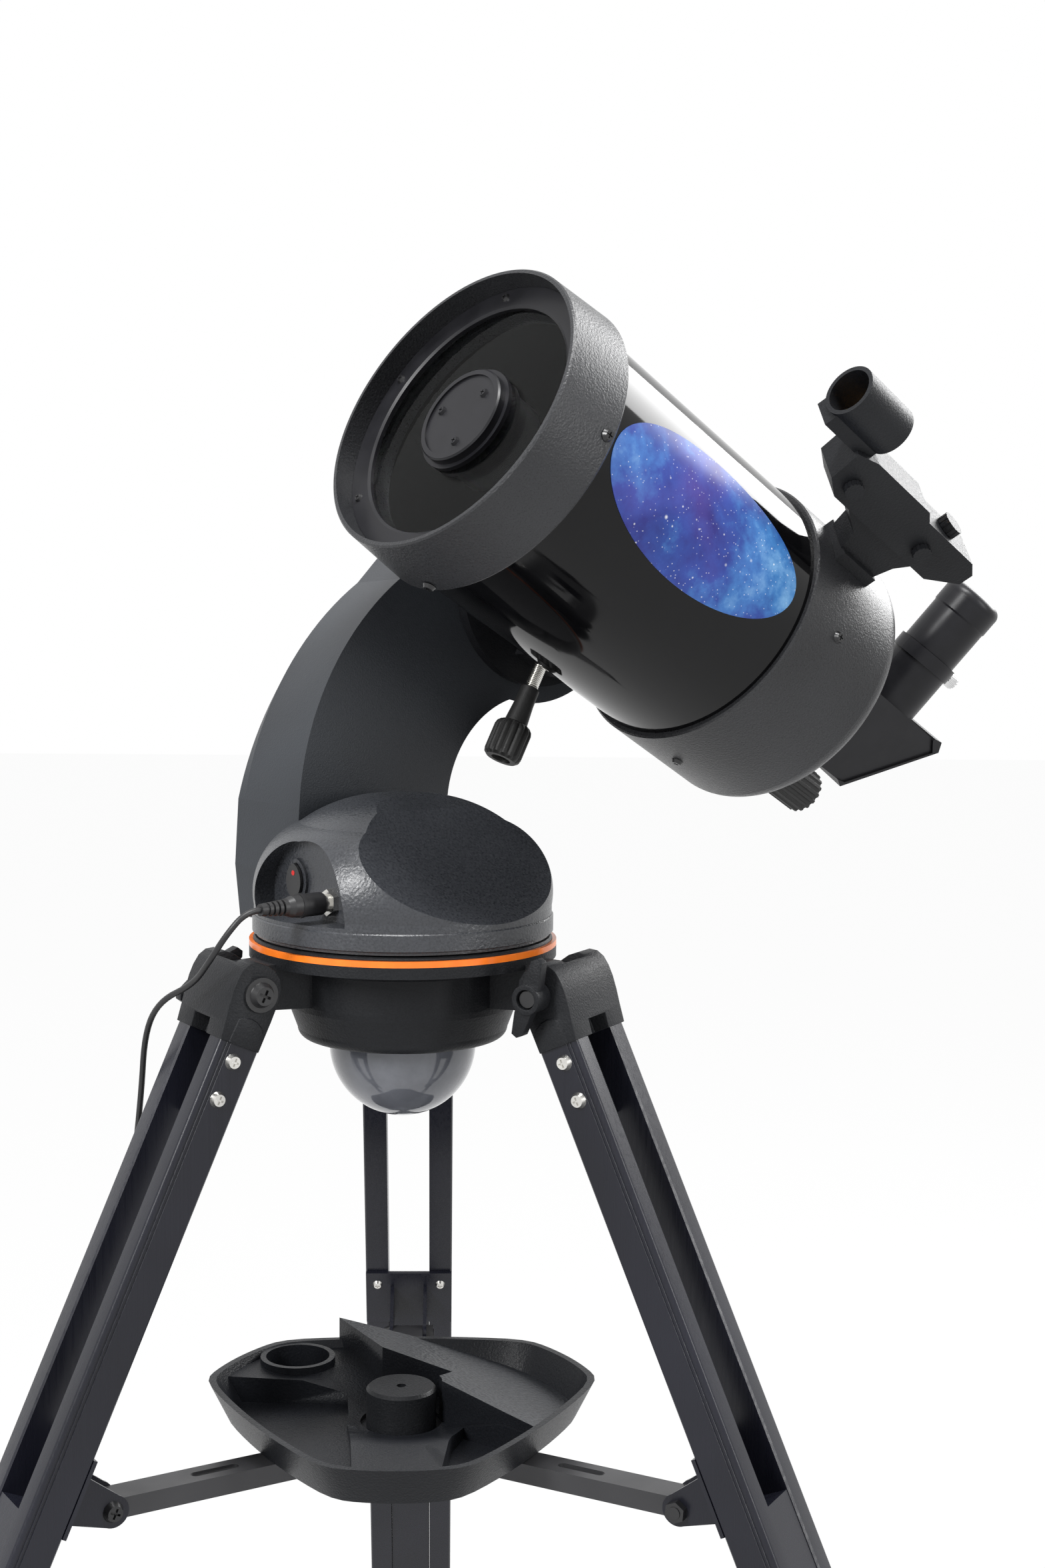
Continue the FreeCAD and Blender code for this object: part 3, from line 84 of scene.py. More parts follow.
class Shader:
    """A node material built up call by call around one Principled shader."""

    def __init__(self, name):
        self.material = bpy.data.materials.new(name)
        self.material.use_nodes = True
        self.nodes = self.material.node_tree.nodes
        self.links = self.material.node_tree.links
        self.principled = self.nodes["Principled BSDF"]
        coordinates = self.nodes.new("ShaderNodeTexCoord")
        self.place = coordinates.outputs["Object"]

    def set(self, **values):
        for key, value in values.items():
            socket = self.principled.inputs[key.replace("_", " ")]
            if isinstance(value, (tuple, list)) and len(value) == 3:
                value = (*value, 1.0)
            socket.default_value = value
        return self

    def noise(self, scale, detail=2.0, rough=0.5, stretch=None):
        vector = self.place
        if stretch:
            mapping = self.nodes.new("ShaderNodeMapping")
            mapping.inputs["Scale"].default_value = stretch
            self.links.new(vector, mapping.inputs["Vector"])
            vector = mapping.outputs["Vector"]
        node = self.nodes.new("ShaderNodeTexNoise")
        node.inputs["Scale"].default_value = scale
        node.inputs["Detail"].default_value = detail
        node.inputs["Roughness"].default_value = rough
        self.links.new(vector, node.inputs["Vector"])
        return node.outputs["Fac"]

    def cells(self, scale):
        node = self.nodes.new("ShaderNodeTexVoronoi")
        node.inputs["Scale"].default_value = scale
        self.links.new(self.place, node.inputs["Vector"])
        return node.outputs["Distance"]

    def ramp(self, value, stops):
        node = self.nodes.new("ShaderNodeValToRGB")
        elements = node.color_ramp.elements
        while len(elements) < len(stops):
            elements.new(0.5)
        for element, (position, colour) in zip(elements, stops):
            element.position = position
            element.color = (*colour, 1.0) if len(colour) == 3 else colour
        self.links.new(value, node.inputs["Fac"])
        return node.outputs["Color"]

    def span(self, value, low, high, start=0.0, end=1.0):
        node = self.nodes.new("ShaderNodeMapRange")
        node.inputs["From Min"].default_value = start
        node.inputs["From Max"].default_value = end
        node.inputs["To Min"].default_value = low
        node.inputs["To Max"].default_value = high
        self.links.new(value, node.inputs["Value"])
        return node.outputs["Result"]

    def math(self, operation, *values):
        node = self.nodes.new("ShaderNodeMath")
        node.operation = operation
        for socket, value in zip(node.inputs, values):
            if isinstance(value, (int, float)):
                socket.default_value = value
            else:
                self.links.new(value, socket)
        return node.outputs["Value"]

    def colour(self, value):
        self.links.new(value, self.principled.inputs["Base Color"])
        return self

    def roughness(self, value):
        self.links.new(value, self.principled.inputs["Roughness"])
        return self

    def bump(self, height, strength, distance):
        node = self.nodes.new("ShaderNodeBump")
        node.inputs["Strength"].default_value = strength
        node.inputs["Distance"].default_value = distance
        self.links.new(height, node.inputs["Height"])
        self.links.new(node.outputs["Normal"], self.principled.inputs["Normal"])
        return self


def grained(name, dark, light, grain, depth, rough_low, rough_high, speculars=0.5):
    """Moulded or powder-coated black: cell-like grain, slow tone drift, uneven sheen."""
    shader = Shader(name)
    shader.set(Specular_IOR_Level=speculars)
    fine = shader.noise(grain, 3.0, 0.6)
    pits = shader.cells(grain * 0.6)
    drift = shader.noise(9.0, 2.0)
    tone = shader.math("MULTIPLY_ADD", fine, 0.6, drift)
    shader.colour(shader.ramp(tone, [(0.45, dark), (1.0, light)]))
    shader.roughness(shader.span(fine, rough_low, rough_high, 0.3, 0.7))
    height = shader.math("ADD", fine, shader.math("MULTIPLY", pits, 0.7))
    shader.bump(height, 0.7, depth)
    return shader.material


def smooth_finish(name, colour, rough, wear=0.06, metallic=0.0, scale=60.0, coat=0.0,
                  coat_rough=0.05, depth=0.00001, speculars=0.5):
    """Smooth paint, anodising or plate with faint handling marks in its sheen."""
    shader = Shader(name)
    shader.set(Metallic=metallic, Specular_IOR_Level=speculars, Coat_Weight=coat,
               Coat_Roughness=coat_rough)
    marks = shader.noise(scale, 4.0, 0.6)
    low = tuple(c * 0.85 for c in colour)
    high = tuple(min(1.0, c * 1.12) for c in colour)
    shader.colour(shader.ramp(marks, [(0.35, low), (0.65, high)]))
    shader.roughness(shader.span(marks, rough - wear, rough + wear, 0.3, 0.7))
    shader.bump(shader.noise(scale * 18, 2.0), 0.25, depth)
    return shader.material


def brushed(name, colour, rough, stretch, metallic=0.0, speculars=0.5):
    """Drawn and anodised aluminium: long fine die lines along the piece."""
    shader = Shader(name)
    shader.set(Metallic=metallic, Specular_IOR_Level=speculars)
    lines = shader.noise(900.0, 2.0, 0.5, stretch)
    drift = shader.noise(14.0, 2.0)
    low = tuple(c * 0.8 for c in colour)
    high = tuple(c * 1.25 for c in colour)
    shader.colour(shader.ramp(drift, [(0.3, low), (0.7, high)]))
    shader.roughness(shader.span(lines, rough - 0.05, rough + 0.07, 0.3, 0.7))
    shader.bump(lines, 0.2, 0.00002)
    return shader.material


def starfield(name):
    """Printed oval: drifting blue and violet haze, a pale band across it and small stars."""
    shader = Shader(name)
    haze = shader.noise(22.0, 8.0, 0.62)
    veil = shader.noise(9.0, 3.0, 0.5)
    base = shader.ramp(haze, [(0.36, (0.003, 0.006, 0.035)), (0.52, (0.012, 0.055, 0.22)),
                              (0.62, (0.040, 0.17, 0.42)), (0.80, (0.30, 0.55, 0.80))])
    violet = shader.ramp(veil, [(0.42, (0.004, 0.012, 0.05)), (0.58, (0.050, 0.035, 0.26)),
                                (0.74, (0.20, 0.14, 0.62))])
    blend = shader.nodes.new("ShaderNodeMixRGB")
    blend.blend_type = "SCREEN"
    blend.inputs["Fac"].default_value = 0.62
    shader.links.new(base, blend.inputs["Color1"])
    shader.links.new(violet, blend.inputs["Color2"])
    stars = blend.outputs["Color"]
    for scale, size in ((420.0, 0.16), (150.0, 0.10), (60.0, 0.075)):
        spots = shader.ramp(shader.cells(scale), [(0.0, (1.0, 1.0, 1.0)), (size, (0.0, 0.0, 0.0))])
        layer = shader.nodes.new("ShaderNodeMixRGB")
        layer.blend_type = "SCREEN"
        layer.inputs["Fac"].default_value = 0.9
        shader.links.new(stars, layer.inputs["Color1"])
        shader.links.new(spots, layer.inputs["Color2"])
        stars = layer.outputs["Color"]
    shader.colour(stars)
    shader.set(Specular_IOR_Level=0.18, Roughness=0.32)
    return shader.material


def dotted(name):
    """Grained shelf with rows of small moulded hollows, each painted darker towards its middle as
    shade.
    """
    shader = Shader(name)
    shader.set(Specular_IOR_Level=0.34)
    grain = shader.noise(1500.0, 3.0, 0.6)
    dimples_and_painted_shade = shader.cells(420.0)
    # Colour darker at each hollow's middle: painted shade in the moulded hollows. The same cells
    # also shape the bump.
    shader.colour(shader.ramp(dimples_and_painted_shade, [(0.18, (0.006, 0.006, 0.007)),
                                        (0.34, (0.022, 0.024, 0.028))]))
    shader.roughness(shader.span(grain, 0.40, 0.58, 0.3, 0.7))
    shader.bump(shader.math("ADD", shader.math("MULTIPLY", grain, 0.2), dimples_and_painted_shade), 0.8, 0.0005)
    return shader.material


def clear(name, colour, rough, ior, tint=None):
    """Glass with faint smears in its sheen, and a drifting tint if one is given."""
    shader = Shader(name)
    shader.set(Base_Color=colour, IOR=ior, Transmission_Weight=1.0)
    smears = shader.noise(30.0, 3.0)
    shader.roughness(shader.span(smears, rough, rough + 0.006, 0.4, 0.8))
    if tint:
        shader.colour(shader.ramp(smears, [(0.2, colour), (0.8, tint)]))
    return shader.material


materials = {
    "textured_black": grained("textured_black_paint", (0.004, 0.004, 0.005),
                              (0.016, 0.017, 0.019), 1300.0, 0.00020, 0.34, 0.54, 0.15),
    "cast_black": grained("cast_cell_paint", (0.008, 0.008, 0.009), (0.030, 0.031, 0.034),
                          1300.0, 0.00022, 0.24, 0.40, 0.32),
    "base_plastic": grained("grained_base_plastic", (0.007, 0.008, 0.010),
                            (0.046, 0.049, 0.056), 900.0, 0.00024, 0.22, 0.38, 0.55),
    "arm_plastic": grained("grained_arm_plastic", (0.016, 0.017, 0.020),
                           (0.032, 0.036, 0.042), 1700.0, 0.00012, 0.36, 0.50, 0.28),
    "tray_plastic": grained("grained_tray_plastic", (0.0035, 0.004, 0.005),
                            (0.012, 0.013, 0.016), 1300.0, 0.00020, 0.28, 0.46, 0.17),
    "gloss_black": smooth_finish("gloss_tube_enamel", (0.0022, 0.0022, 0.0026), 0.06, 0.02,
                                 depth=0.000003, speculars=0.24),
    "anodised": smooth_finish("satin_black_anodising", (0.011, 0.011, 0.013), 0.34, 0.06,
                              depth=0.00001, speculars=0.24),
    "leg_anodised": brushed("drawn_black_anodising", (0.009, 0.0095, 0.015), 0.28,
                            (1.0, 1.0, 0.02), speculars=0.34),
    "brace_grey": brushed("drawn_grey_anodising", (0.040, 0.040, 0.043), 0.36,
                          (0.05, 0.05, 1.0), 0.3),
    "orange": smooth_finish("orange_ring_plastic", (1.0, 0.205, 0.018), 0.25, 0.04,
                            depth=0.000008),
    "rubber": grained("black_rubber", (0.008, 0.008, 0.008), (0.020, 0.020, 0.020),
                      1600.0, 0.00008, 0.46, 0.64, 0.34),
    "steel": smooth_finish("zinc_plate", (0.66, 0.65, 0.62), 0.24, 0.06, metallic=1.0),
    "chrome": smooth_finish("polished_steel", (0.72, 0.72, 0.72), 0.14, 0.04, metallic=1.0),
    "black_steel": smooth_finish("black_oxide", (0.014, 0.014, 0.015), 0.30, 0.08),
    "smoked": smooth_finish("smoked_knob_plastic", (0.110, 0.115, 0.132), 0.10, 0.03,
                            coat=0.5, coat_rough=0.03, depth=0.000006),
    "cable": smooth_finish("cable_jacket", (0.010, 0.010, 0.011), 0.42, 0.06, depth=0.00002),
    "switch_black": smooth_finish("switch_plastic", (0.012, 0.012, 0.013), 0.28, 0.05),
    # The mirror's colour is far darker than real aluminising: painted shade, for the mirror lying
    # in shade deep inside the tube.
    "mirror": smooth_finish("aluminised_mirror_in_painted_shade", (0.10, 0.11, 0.12), 0.03, 0.01, metallic=1.0,
                            depth=0.0),
    # The low IOR stands for the antireflection coating.
    "clear_glass": clear("coated_glass", (0.93, 0.96, 0.95), 0.0, 1.12),
    "amber_glass": clear("amber_lens", (0.85, 0.42, 0.10), 0.02, 1.5, (0.95, 0.55, 0.2)),
    "red_dot": smooth_finish("red_marking", (0.55, 0.012, 0.010), 0.4, 0.05),
}
materials["decal"] = starfield("generic_starfield_print")
materials["dotted"] = dotted("dotted_shelf_plastic")

# Each node's material.
FINISH = {
    "front_cell": "cast_black", "rear_cell": "cast_black", "tube_shell": "gloss_black",
    "retaining_ring": "anodised", "tube_screws": "black_steel",
    "corrector_plate": "clear_glass", "secondary_holder": "anodised",
    "baffle_tube": "black_steel", "primary_mirror": "mirror", "visual_back": "anodised",
    "focus_knob": "rubber", "diagonal_body": "anodised", "eyepiece_screw": "chrome",
    "eyepiece": "anodised", "dovetail_bar": "anodised", "altitude_hub": "textured_black",
    "clamp_jaw": "textured_black", "clamp_knob": "rubber", "finder_bracket": "textured_black",
    "finder_body": "textured_black", "finder_lens": "amber_glass",
    "finder_switch": "textured_black", "finder_adjuster_1": "textured_black",
    "finder_adjuster_2": "textured_black", "fork_arm": "arm_plastic",
    "arm_side_cover": "arm_plastic", "base_dome": "base_plastic", "base_band": "base_plastic",
    "rocker_switch": "switch_black", "dc_jack": "steel", "power_plug": "cable",
    "tripod_head": "textured_black", "orange_ring": "orange", "mounting_knob": "smoked",
    "leg_brackets": "textured_black", "leg_rails": "leg_anodised", "rail_screws": "steel",
    "pivot_bolts": "black_steel", "leg_end_clamps": "textured_black",
    "brace_brackets": "leg_anodised", "brace_arms": "brace_grey",
    "brace_hub": "textured_black", "tray": "tray_plastic", "tray_knob": "textured_black",
    "cord": "cable", "cord_coil": "cable", "cord_plug": "cable",
}
for number in (1, 2, 3):
    FINISH[f"inner_leg_{number}"] = "leg_anodised"
    FINISH[f"leg_foot_{number}"] = "rubber"
    FINISH[f"leg_lock_{number}"] = "textured_black"
    FINISH[f"wing_knob_{number}"] = "textured_black"


def dress_nodes():
    """Gives each CAD node its material."""
    for name, node in nodes.items():
        node.data.materials.clear()
        node.data.materials.append(materials[FINISH[name]])


dress_nodes()

# ---------------------------------------------------------------- mesh kit
SMOOTH_ANGLE = math.radians(32.0)
HINGE = Vector((91.0, 0.0, -17.5)) * MM      # a leg's hinge from the tripod's axis
LEG_LEAN = math.radians(-24.5)
LEG_HEADINGS = (90.0, 210.0, 330.0)
# The CAD frames of the tripod's head, the mount and the tube, in metres.
TRIPOD = Matrix.Translation(Vector((0.0, -95.0, 660.0)) * MM)
MOUNT_PLACE = Matrix(((-0.767165, 0.64145, 0, 0.0), (-0.64145, -0.767165, 0, -0.095),
                      (0, 0, 1, 0.66), (0, 0, 0, 1)))
TUBE_PLACE = Matrix(((-0.668365, 0.64145, 0.376604, 0.038487),
                     (-0.55884, -0.767165, 0.31489, -0.14103),
                     (0.490904, 0.0, 0.871214, 0.9081), (0, 0, 0, 1)))


def leg_place(heading):
    """A leg's own frame: origin on its hinge, Z up along the leg, X outward."""
    return (TRIPOD @ Matrix.Rotation(math.radians(heading), 4, "Z")
            @ Matrix.Translation(HINGE) @ Matrix.Rotation(LEG_LEAN, 4, "Y"))


def made(name, build):
    """Object with the mesh of a bmesh, its faces turned outward; the bmesh is used up."""
    bmesh.ops.recalc_face_normals(build, faces=build.faces)
    mesh = bpy.data.meshes.new(name)
    build.to_mesh(mesh)
    build.free()
    return linked(name, mesh)


def solid(rings):
    """Object whose closed mesh runs through rings of points, with flat ends."""
    build = bmesh.new()
    rows = [[build.verts.new(point) for point in ring] for ring in rings]
    count = len(rings[0])
    for lower, upper in zip(rows, rows[1:]):
        for i in range(count):
            j = (i + 1) % count
            build.faces.new((lower[i], lower[j], upper[j], upper[i]))
    build.faces.new(rows[0])
    build.faces.new(rows[-1])
    return made("solid", build)


def prism(outline, low, high, axis="Z"):
    """Straight block over an outline in XY, or in XZ with axis Y."""
    if axis == "Z":
        return solid([[(x, y, low) for x, y in outline], [(x, y, high) for x, y in outline]])
    return solid([[(x, low, z) for x, z in outline], [(x, high, z) for x, z in outline]])


def disc(centre, radius, count=48):
    """Points of a circle."""
    return [(centre[0] + radius * math.cos(2 * math.pi * i / count),
             centre[1] + radius * math.sin(2 * math.pi * i / count)) for i in range(count)]


def evaluated(shape):
    """Mesh of an object with its modifiers applied."""
    graph = bpy.context.evaluated_depsgraph_get()
    return bpy.data.meshes.new_from_object(shape.evaluated_get(graph))


def carve(base, operation, *tools):
    """Joins, cuts or keeps the common part of solids; the tools are used up."""
    for tool in tools:
        step = base.modifiers.new("carve", "BOOLEAN")
        step.operation = operation
        step.solver = "EXACT"
        step.object = tool
        bpy.context.view_layer.update()
        shaped = evaluated(base)
        base.modifiers.clear()
        base.data = shaped
        bpy.data.objects.remove(tool)
    return base


def smooth_by_angle(mesh, limit=SMOOTH_ANGLE):
    """Smooth shading over round faces, with edges sharper than the limit kept crisp."""
    flags = bmesh.new()
    flags.from_mesh(mesh)
    flags.edges.ensure_lookup_table()
    sharp = [len(edge.link_faces) != 2 or edge.calc_face_angle(0.0) > limit
             for edge in flags.edges]
    flags.free()
    mesh.polygons.foreach_set("use_smooth", [True] * len(mesh.polygons))
    for edge, is_sharp in zip(mesh.edges, sharp):
        edge.use_edge_sharp = is_sharp


def finish_piece(shape, name, place, body, material, rounding=0.0, segments=2,
                 limit=28.0):
    """Rounds the edges, sets the piece in its place in metres and gives it body and finish."""
    if rounding:
        step = shape.modifiers.new("rounding", "BEVEL")
        step.width = rounding
        step.segments = segments
        step.limit_method = "ANGLE"
        step.angle_limit = math.radians(limit)
        bpy.context.view_layer.update()
        rounded = evaluated(shape)
        shape.modifiers.clear()
        shape.data = rounded
    shape.data.transform(place @ Matrix.Scale(MM, 4))
    smooth_by_angle(shape.data)
    shape.name = name
    shape.data.name = name
    shape.data.materials.clear()
    shape.data.materials.append(materials[material])
    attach(shape, body)
    return shape


# ---------------------------------------------------------------- accessory tray
TRAY_RIM = -237.0
TRAY_BOTTOM = -256.6
TRAY_SIDE = 80.0
TRAY_NOSE = 98.0
TRAY_BULGE = 5.0
TRAY_WALL = 2.4
TRAY_FLOOR = TRAY_BOTTOM + TRAY_WALL
TRAY_TAPER = 9.0                   # its foot is this much smaller than its rim
INNER_FOOT = 12.0                  # its inner wall inside the outer one, at the floor
INNER_RIM = 3.0                    # and at the rim
FIN_RISE = 29.0                    # tallest that the fin may stand over the rim
POCKET_ROOM = 60.0                 # height of the tools that cut the pockets
BELOW, OVER, ABOVE = -300.0, -200.0, -180.0      # heights clear of the tray
SHELF_EDGE = [(-37, 84), (-11, 39), (26, 24), (17, 2), (55, -36), (74, -54)]
SHELF_FAR = [(130, -60), (130, 120), (-33, 120)]
SHELF_REACH = 250.0                # half the side of the block over the shelf's plane
SHELF_ROOM = 200.0                 # and its height
SHELF_FLATNESS = 0.9995            # cosine under which a face isn't the shelf's
SHELF_PLANE = [Vector((-37, 83, -225.3)), Vector((65, -45, -237)), Vector((83, 51, -253.5))]
LEFT_POCKET = [(-110, -10), (-104, 34), (-29, 27), (-27.5, 8), (-27.5, -8), (-25, -30),
               (-21, -96), (-60, -110)]
FRONT_POCKET = [(21, -96), (26, -38), (32, -20), (50, -34), (68, -52), (64, -96)]
CUP_AT = (-57, 56)
CUP_R = 17.0
CUP_WALL = 3.0
HUB_WELL_R = 21.0
HUB_WELL_FLOOR = -254.2
SCREW_HOLE_R = 4.4
DISH = [(25.0, -252.0), (60.0, -241.5), (130.0, -239.8), (130.0, -230.0)]


def tray_ring(side, nose, z, steps=12):
    """Plan of the tray: three blunt corners joined by gently bowed sides."""
    corners = []
    for i in range(3):
        heading = 30.0 + 120.0 * i
        for turn in (-60.0, 60.0):
            a = math.radians(heading)
            b = math.radians(heading + turn)
            det = math.cos(a) * math.sin(b) - math.sin(a) * math.cos(b)
            corners.append(Vector(((nose * math.sin(b) - side * math.sin(a)) / det,
                                   (side * math.cos(a) - nose * math.cos(b)) / det)))
    ring = []
    for i, corner in enumerate(corners):
        after = corners[(i + 1) % 6]
        middle = (corner + after) / 2
        bulge = middle.normalized() * TRAY_BULGE
        for step in range(steps):
            t = step / steps
            point = corner.lerp(after, t) + 4 * t * (1 - t) * bulge
            ring.append(point)
    for _ in range(2):
        ring = [(ring[i - 1] + 2 * ring[i] + ring[(i + 1) % len(ring)]) / 4
                for i in range(len(ring))]
    return [(point.x, point.y, z) for point in ring]


def shelf_side():
    """Everything on the shelf's side of the tray."""
    return prism(SHELF_EDGE + SHELF_FAR, BELOW, ABOVE)


def shelf_normal():
    """Upward normal of the sloping shelf."""
    first, second, third = SHELF_PLANE
    across = (second - first).cross(third - first).normalized()
    return across if across.z > 0 else -across


def above_shelf():
    """Everything above the sloping shelf's plane."""
    across = shelf_normal()
    u = across.orthogonal().normalized()
    v = across.cross(u)
    base = [SHELF_PLANE[0] + SHELF_REACH * (a * u + b * v)
            for a, b in ((-1, -1), (1, -1), (1, 1), (-1, 1))]
    return solid([base, [point + SHELF_ROOM * across for point in base]])


def tray_inner():
    """Room inside the tray's outer wall."""
    return solid([tray_ring(TRAY_SIDE - INNER_FOOT, TRAY_NOSE - INNER_FOOT, TRAY_FLOOR),
                  tray_ring(TRAY_SIDE - INNER_RIM, TRAY_NOSE - INNER_RIM, TRAY_RIM + 1)])


def make_tray():
    """Moulded tray: dished floor with pockets, cup, sloping dimpled shelf and its fin."""
    body = solid([tray_ring(TRAY_SIDE - TRAY_TAPER, TRAY_NOSE - TRAY_TAPER, TRAY_BOTTOM),
                  tray_ring(TRAY_SIDE, TRAY_NOSE, TRAY_RIM)])
    dish = solid([[(x, y, z) for x, y in disc((0, 0), radius, 96)] for radius, z in DISH])
    hollow = carve(dish, "INTERSECT", tray_inner())
    for outline in (LEFT_POCKET, FRONT_POCKET):
        pocket = carve(prism(outline, TRAY_FLOOR, TRAY_FLOOR + POCKET_ROOM), "INTERSECT",
                       tray_inner())
        carve(hollow, "UNION", pocket)
    carve(hollow, "DIFFERENCE", shelf_side())
    sloped = carve(carve(tray_inner(), "INTERSECT", shelf_side()), "INTERSECT", above_shelf())
    carve(body, "DIFFERENCE", hollow, sloped)
    fin = solid([tray_ring(TRAY_SIDE - 1, TRAY_NOSE - 1, TRAY_RIM - 1),
                 tray_ring(TRAY_SIDE - 1, TRAY_NOSE - 1, TRAY_RIM + FIN_RISE)])
    carve(carve(fin, "INTERSECT", shelf_side()), "DIFFERENCE", above_shelf())
    cup = carve(prism(disc(CUP_AT, CUP_R + CUP_WALL), TRAY_BOTTOM + 1, TRAY_RIM - 0.5),
                "DIFFERENCE", shelf_side())
    carve(body, "UNION", fin, cup)
    carve(body, "DIFFERENCE", prism(disc(CUP_AT, CUP_R), TRAY_FLOOR, OVER),
          prism(disc((0, 0), HUB_WELL_R), HUB_WELL_FLOOR, OVER),
          prism(disc((0, 0), SCREW_HOLE_R), BELOW, OVER))
    tray = finish_piece(body, "moulded_tray", TRIPOD, "tray", "tray_plastic",
                        rounding=0.9)
    tray.data.materials.append(materials["dotted"])
    across = shelf_normal()
    for face in tray.data.polygons:
        if face.normal.dot(across) > SHELF_FLATNESS:
            face.material_index = 1
    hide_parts("tray")


make_tray()

# ---------------------------------------------------------------- legs
RAIL_HALF = 10.5
RAIL_CORNER_R = 2.2
RAIL_EDGE = 0.8
# Two fine lines along the rail's outer face: place across it, depth.
RAIL_LINES = [(4.6, 0.0), (4.9, 0.45), (5.5, 0.45), (5.8, 0.0), (6.5, -0.05), (6.8, 0.4),
              (7.3, 0.4), (7.6, 0.0)]
RAIL_IN = 12.1
RAIL_OUT = 25.3
RAIL_TOP = -26.0
RAIL_BOTTOM = -626.0
CHEEK_OUT = RAIL_OUT + 0.9
BOLT_HOLE_R = 4.2


def rail_outline(side):
    """Section of a drawn rail: rounded outward corner and two fine lines beside it."""
    outline = [(-RAIL_HALF, RAIL_IN), (-RAIL_HALF, RAIL_OUT - RAIL_EDGE),
               (RAIL_EDGE - RAIL_HALF, RAIL_OUT)]
    outline += [(x, RAIL_OUT - depth) for x, depth in RAIL_LINES]
    for step in range(6):
        a = math.radians(90.0 - 18.0 * step)
        outline.append((RAIL_HALF - RAIL_CORNER_R + RAIL_CORNER_R * math.cos(a),
                        RAIL_OUT - RAIL_CORNER_R + RAIL_CORNER_R * math.sin(a)))
    outline += [(RAIL_HALF, RAIL_IN + 1.2), (RAIL_HALF - RAIL_EDGE, RAIL_IN)]
    return [(x, y * side) for x, y in outline]


def make_rails():
    """Two drawn rails on each leg."""
    for number, heading in enumerate(LEG_HEADINGS, 1):
        for side, word in ((-1, "right"), (1, "left")):
            rail = prism(rail_outline(side), RAIL_BOTTOM, RAIL_TOP)
            finish_piece(rail, f"leg_rail_{number}_{word}", leg_place(heading), "root",
                         "leg_anodised")
            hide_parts("leg_rails")


# Side views of the bracket, as (outward, along the leg): cheek, slot between the cheeks, raised
# lower panel and pocket.
CHEEK = [(-10.4, RAIL_TOP), (-10.6, -10.0), (-10.4, 1.0), (-9.2, 6.0), (-6.4, 10.4),
         (-2.4, 13.0), (2.5, 14.0), (7.5, 13.6), (11.2, 11.4), (13.4, 7.6),
         (14.2, 2.6), (14.2, -3.0), (13.4, -10.0), (12.2, -17.0), (10.9, RAIL_TOP)]
SLOT = [(-40, -14.0), (8.0, -14.0), (12.6, -8.0), (12.6, 4.0), (9.0, 30.0), (-40, 30.0)]
PANEL = [(-9.3, RAIL_TOP), (-9.3, -17.5), (-7.0, -14.6), (-3.5, -12.7), (0.0, -12.2),
         (3.5, -12.8), (6.0, -14.4), (6.4, RAIL_TOP)]
POCKET = [(2.5, RAIL_TOP - 5), (2.5, -18.5), (30.0, -18.5), (30.0, RAIL_TOP - 5)]
POCKET_HALF = 9.0
# Section of the tongue that runs down between the rails.
WEB = [(-9.5, -RAIL_IN), (-3.0, -RAIL_IN), (-3.0, RAIL_IN), (-9.5, RAIL_IN)]
WEB_BOTTOM = -66.0


def make_bracket(number, heading):
    """Hinge bracket at the top of a leg."""
    shoulder = prism(CHEEK, -CHEEK_OUT, CHEEK_OUT, "Y")
    carve(shoulder, "UNION", prism(WEB, WEB_BOTTOM, RAIL_TOP + 1))
    carve(shoulder, "DIFFERENCE", prism(SLOT, -RAIL_IN, RAIL_IN, "Y"),
          prism(POCKET, -POCKET_HALF, POCKET_HALF, "Y"),
          prism(disc((0, 0), BOLT_HOLE_R, 32), -40, 40, "Y"))
    for side in (-1, 1):
        low, high = sorted((side * (CHEEK_OUT - 1.0), side * (CHEEK_OUT + 0.7)))
        carve(shoulder, "UNION", prism(PANEL, low, high, "Y"))
    finish_piece(shoulder, f"leg_bracket_{number}", leg_place(heading), "root",
                 "textured_black", rounding=1.1, segments=3)
    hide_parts("leg_brackets")


WING = [(-5.0, 0.0), (-4.2, 10.0), (-3.4, 18.5), (-1.0, 20.5), (2.2, 19.5), (4.0, 10.0),
        (5.0, 0.0), (4.2, -9.0), (3.2, -17.5), (0.6, -19.5), (-2.4, -18.5), (-4.0, -9.0)]
WING_SEAT = -CHEEK_OUT - 0.3
WING_END = WING_SEAT - 12.6
WING_HUB_R = 7.2
NUT_R = 4.4
NUT_SEAT_R = 4.8
WING_LEANS = {1: 14.0, 2: 30.0, 3: -42.0}     # how far each nut is turned, in degrees


def make_wing(number, heading):
    """Clamp nut of a hinge: round hub with two tapered wings and a bright nut inside."""
    turn = math.radians(WING_LEANS[number])
    lean = [(x * math.cos(turn) - z * math.sin(turn), x * math.sin(turn) + z * math.cos(turn))
            for x, z in WING]
    wing = prism(disc((0, 0), WING_HUB_R), WING_END, WING_SEAT, "Y")
    carve(wing, "UNION", prism(lean, WING_END + 1.2, WING_END + 7.2, "Y"))
    carve(wing, "DIFFERENCE",
          prism(disc((0, 0), NUT_SEAT_R), WING_END - 1, WING_END + 4.0, "Y"),
          prism(disc((0, 0), BOLT_HOLE_R), WING_END - 1, WING_SEAT + 1, "Y"))
    place = leg_place(heading)
    finish_piece(wing, f"wing_nut_{number}", place, f"wing_knob_{number}",
                 "textured_black", rounding=0.9, segments=3)
    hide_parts(f"wing_knob_{number}")
    nut = prism(disc((0, 0), NUT_R, 6), WING_END + 2.2, WING_END + 5.5, "Y")
    finish_piece(nut, f"wing_nut_core_{number}", place, f"wing_knob_{number}",
                 "chrome", rounding=0.5)


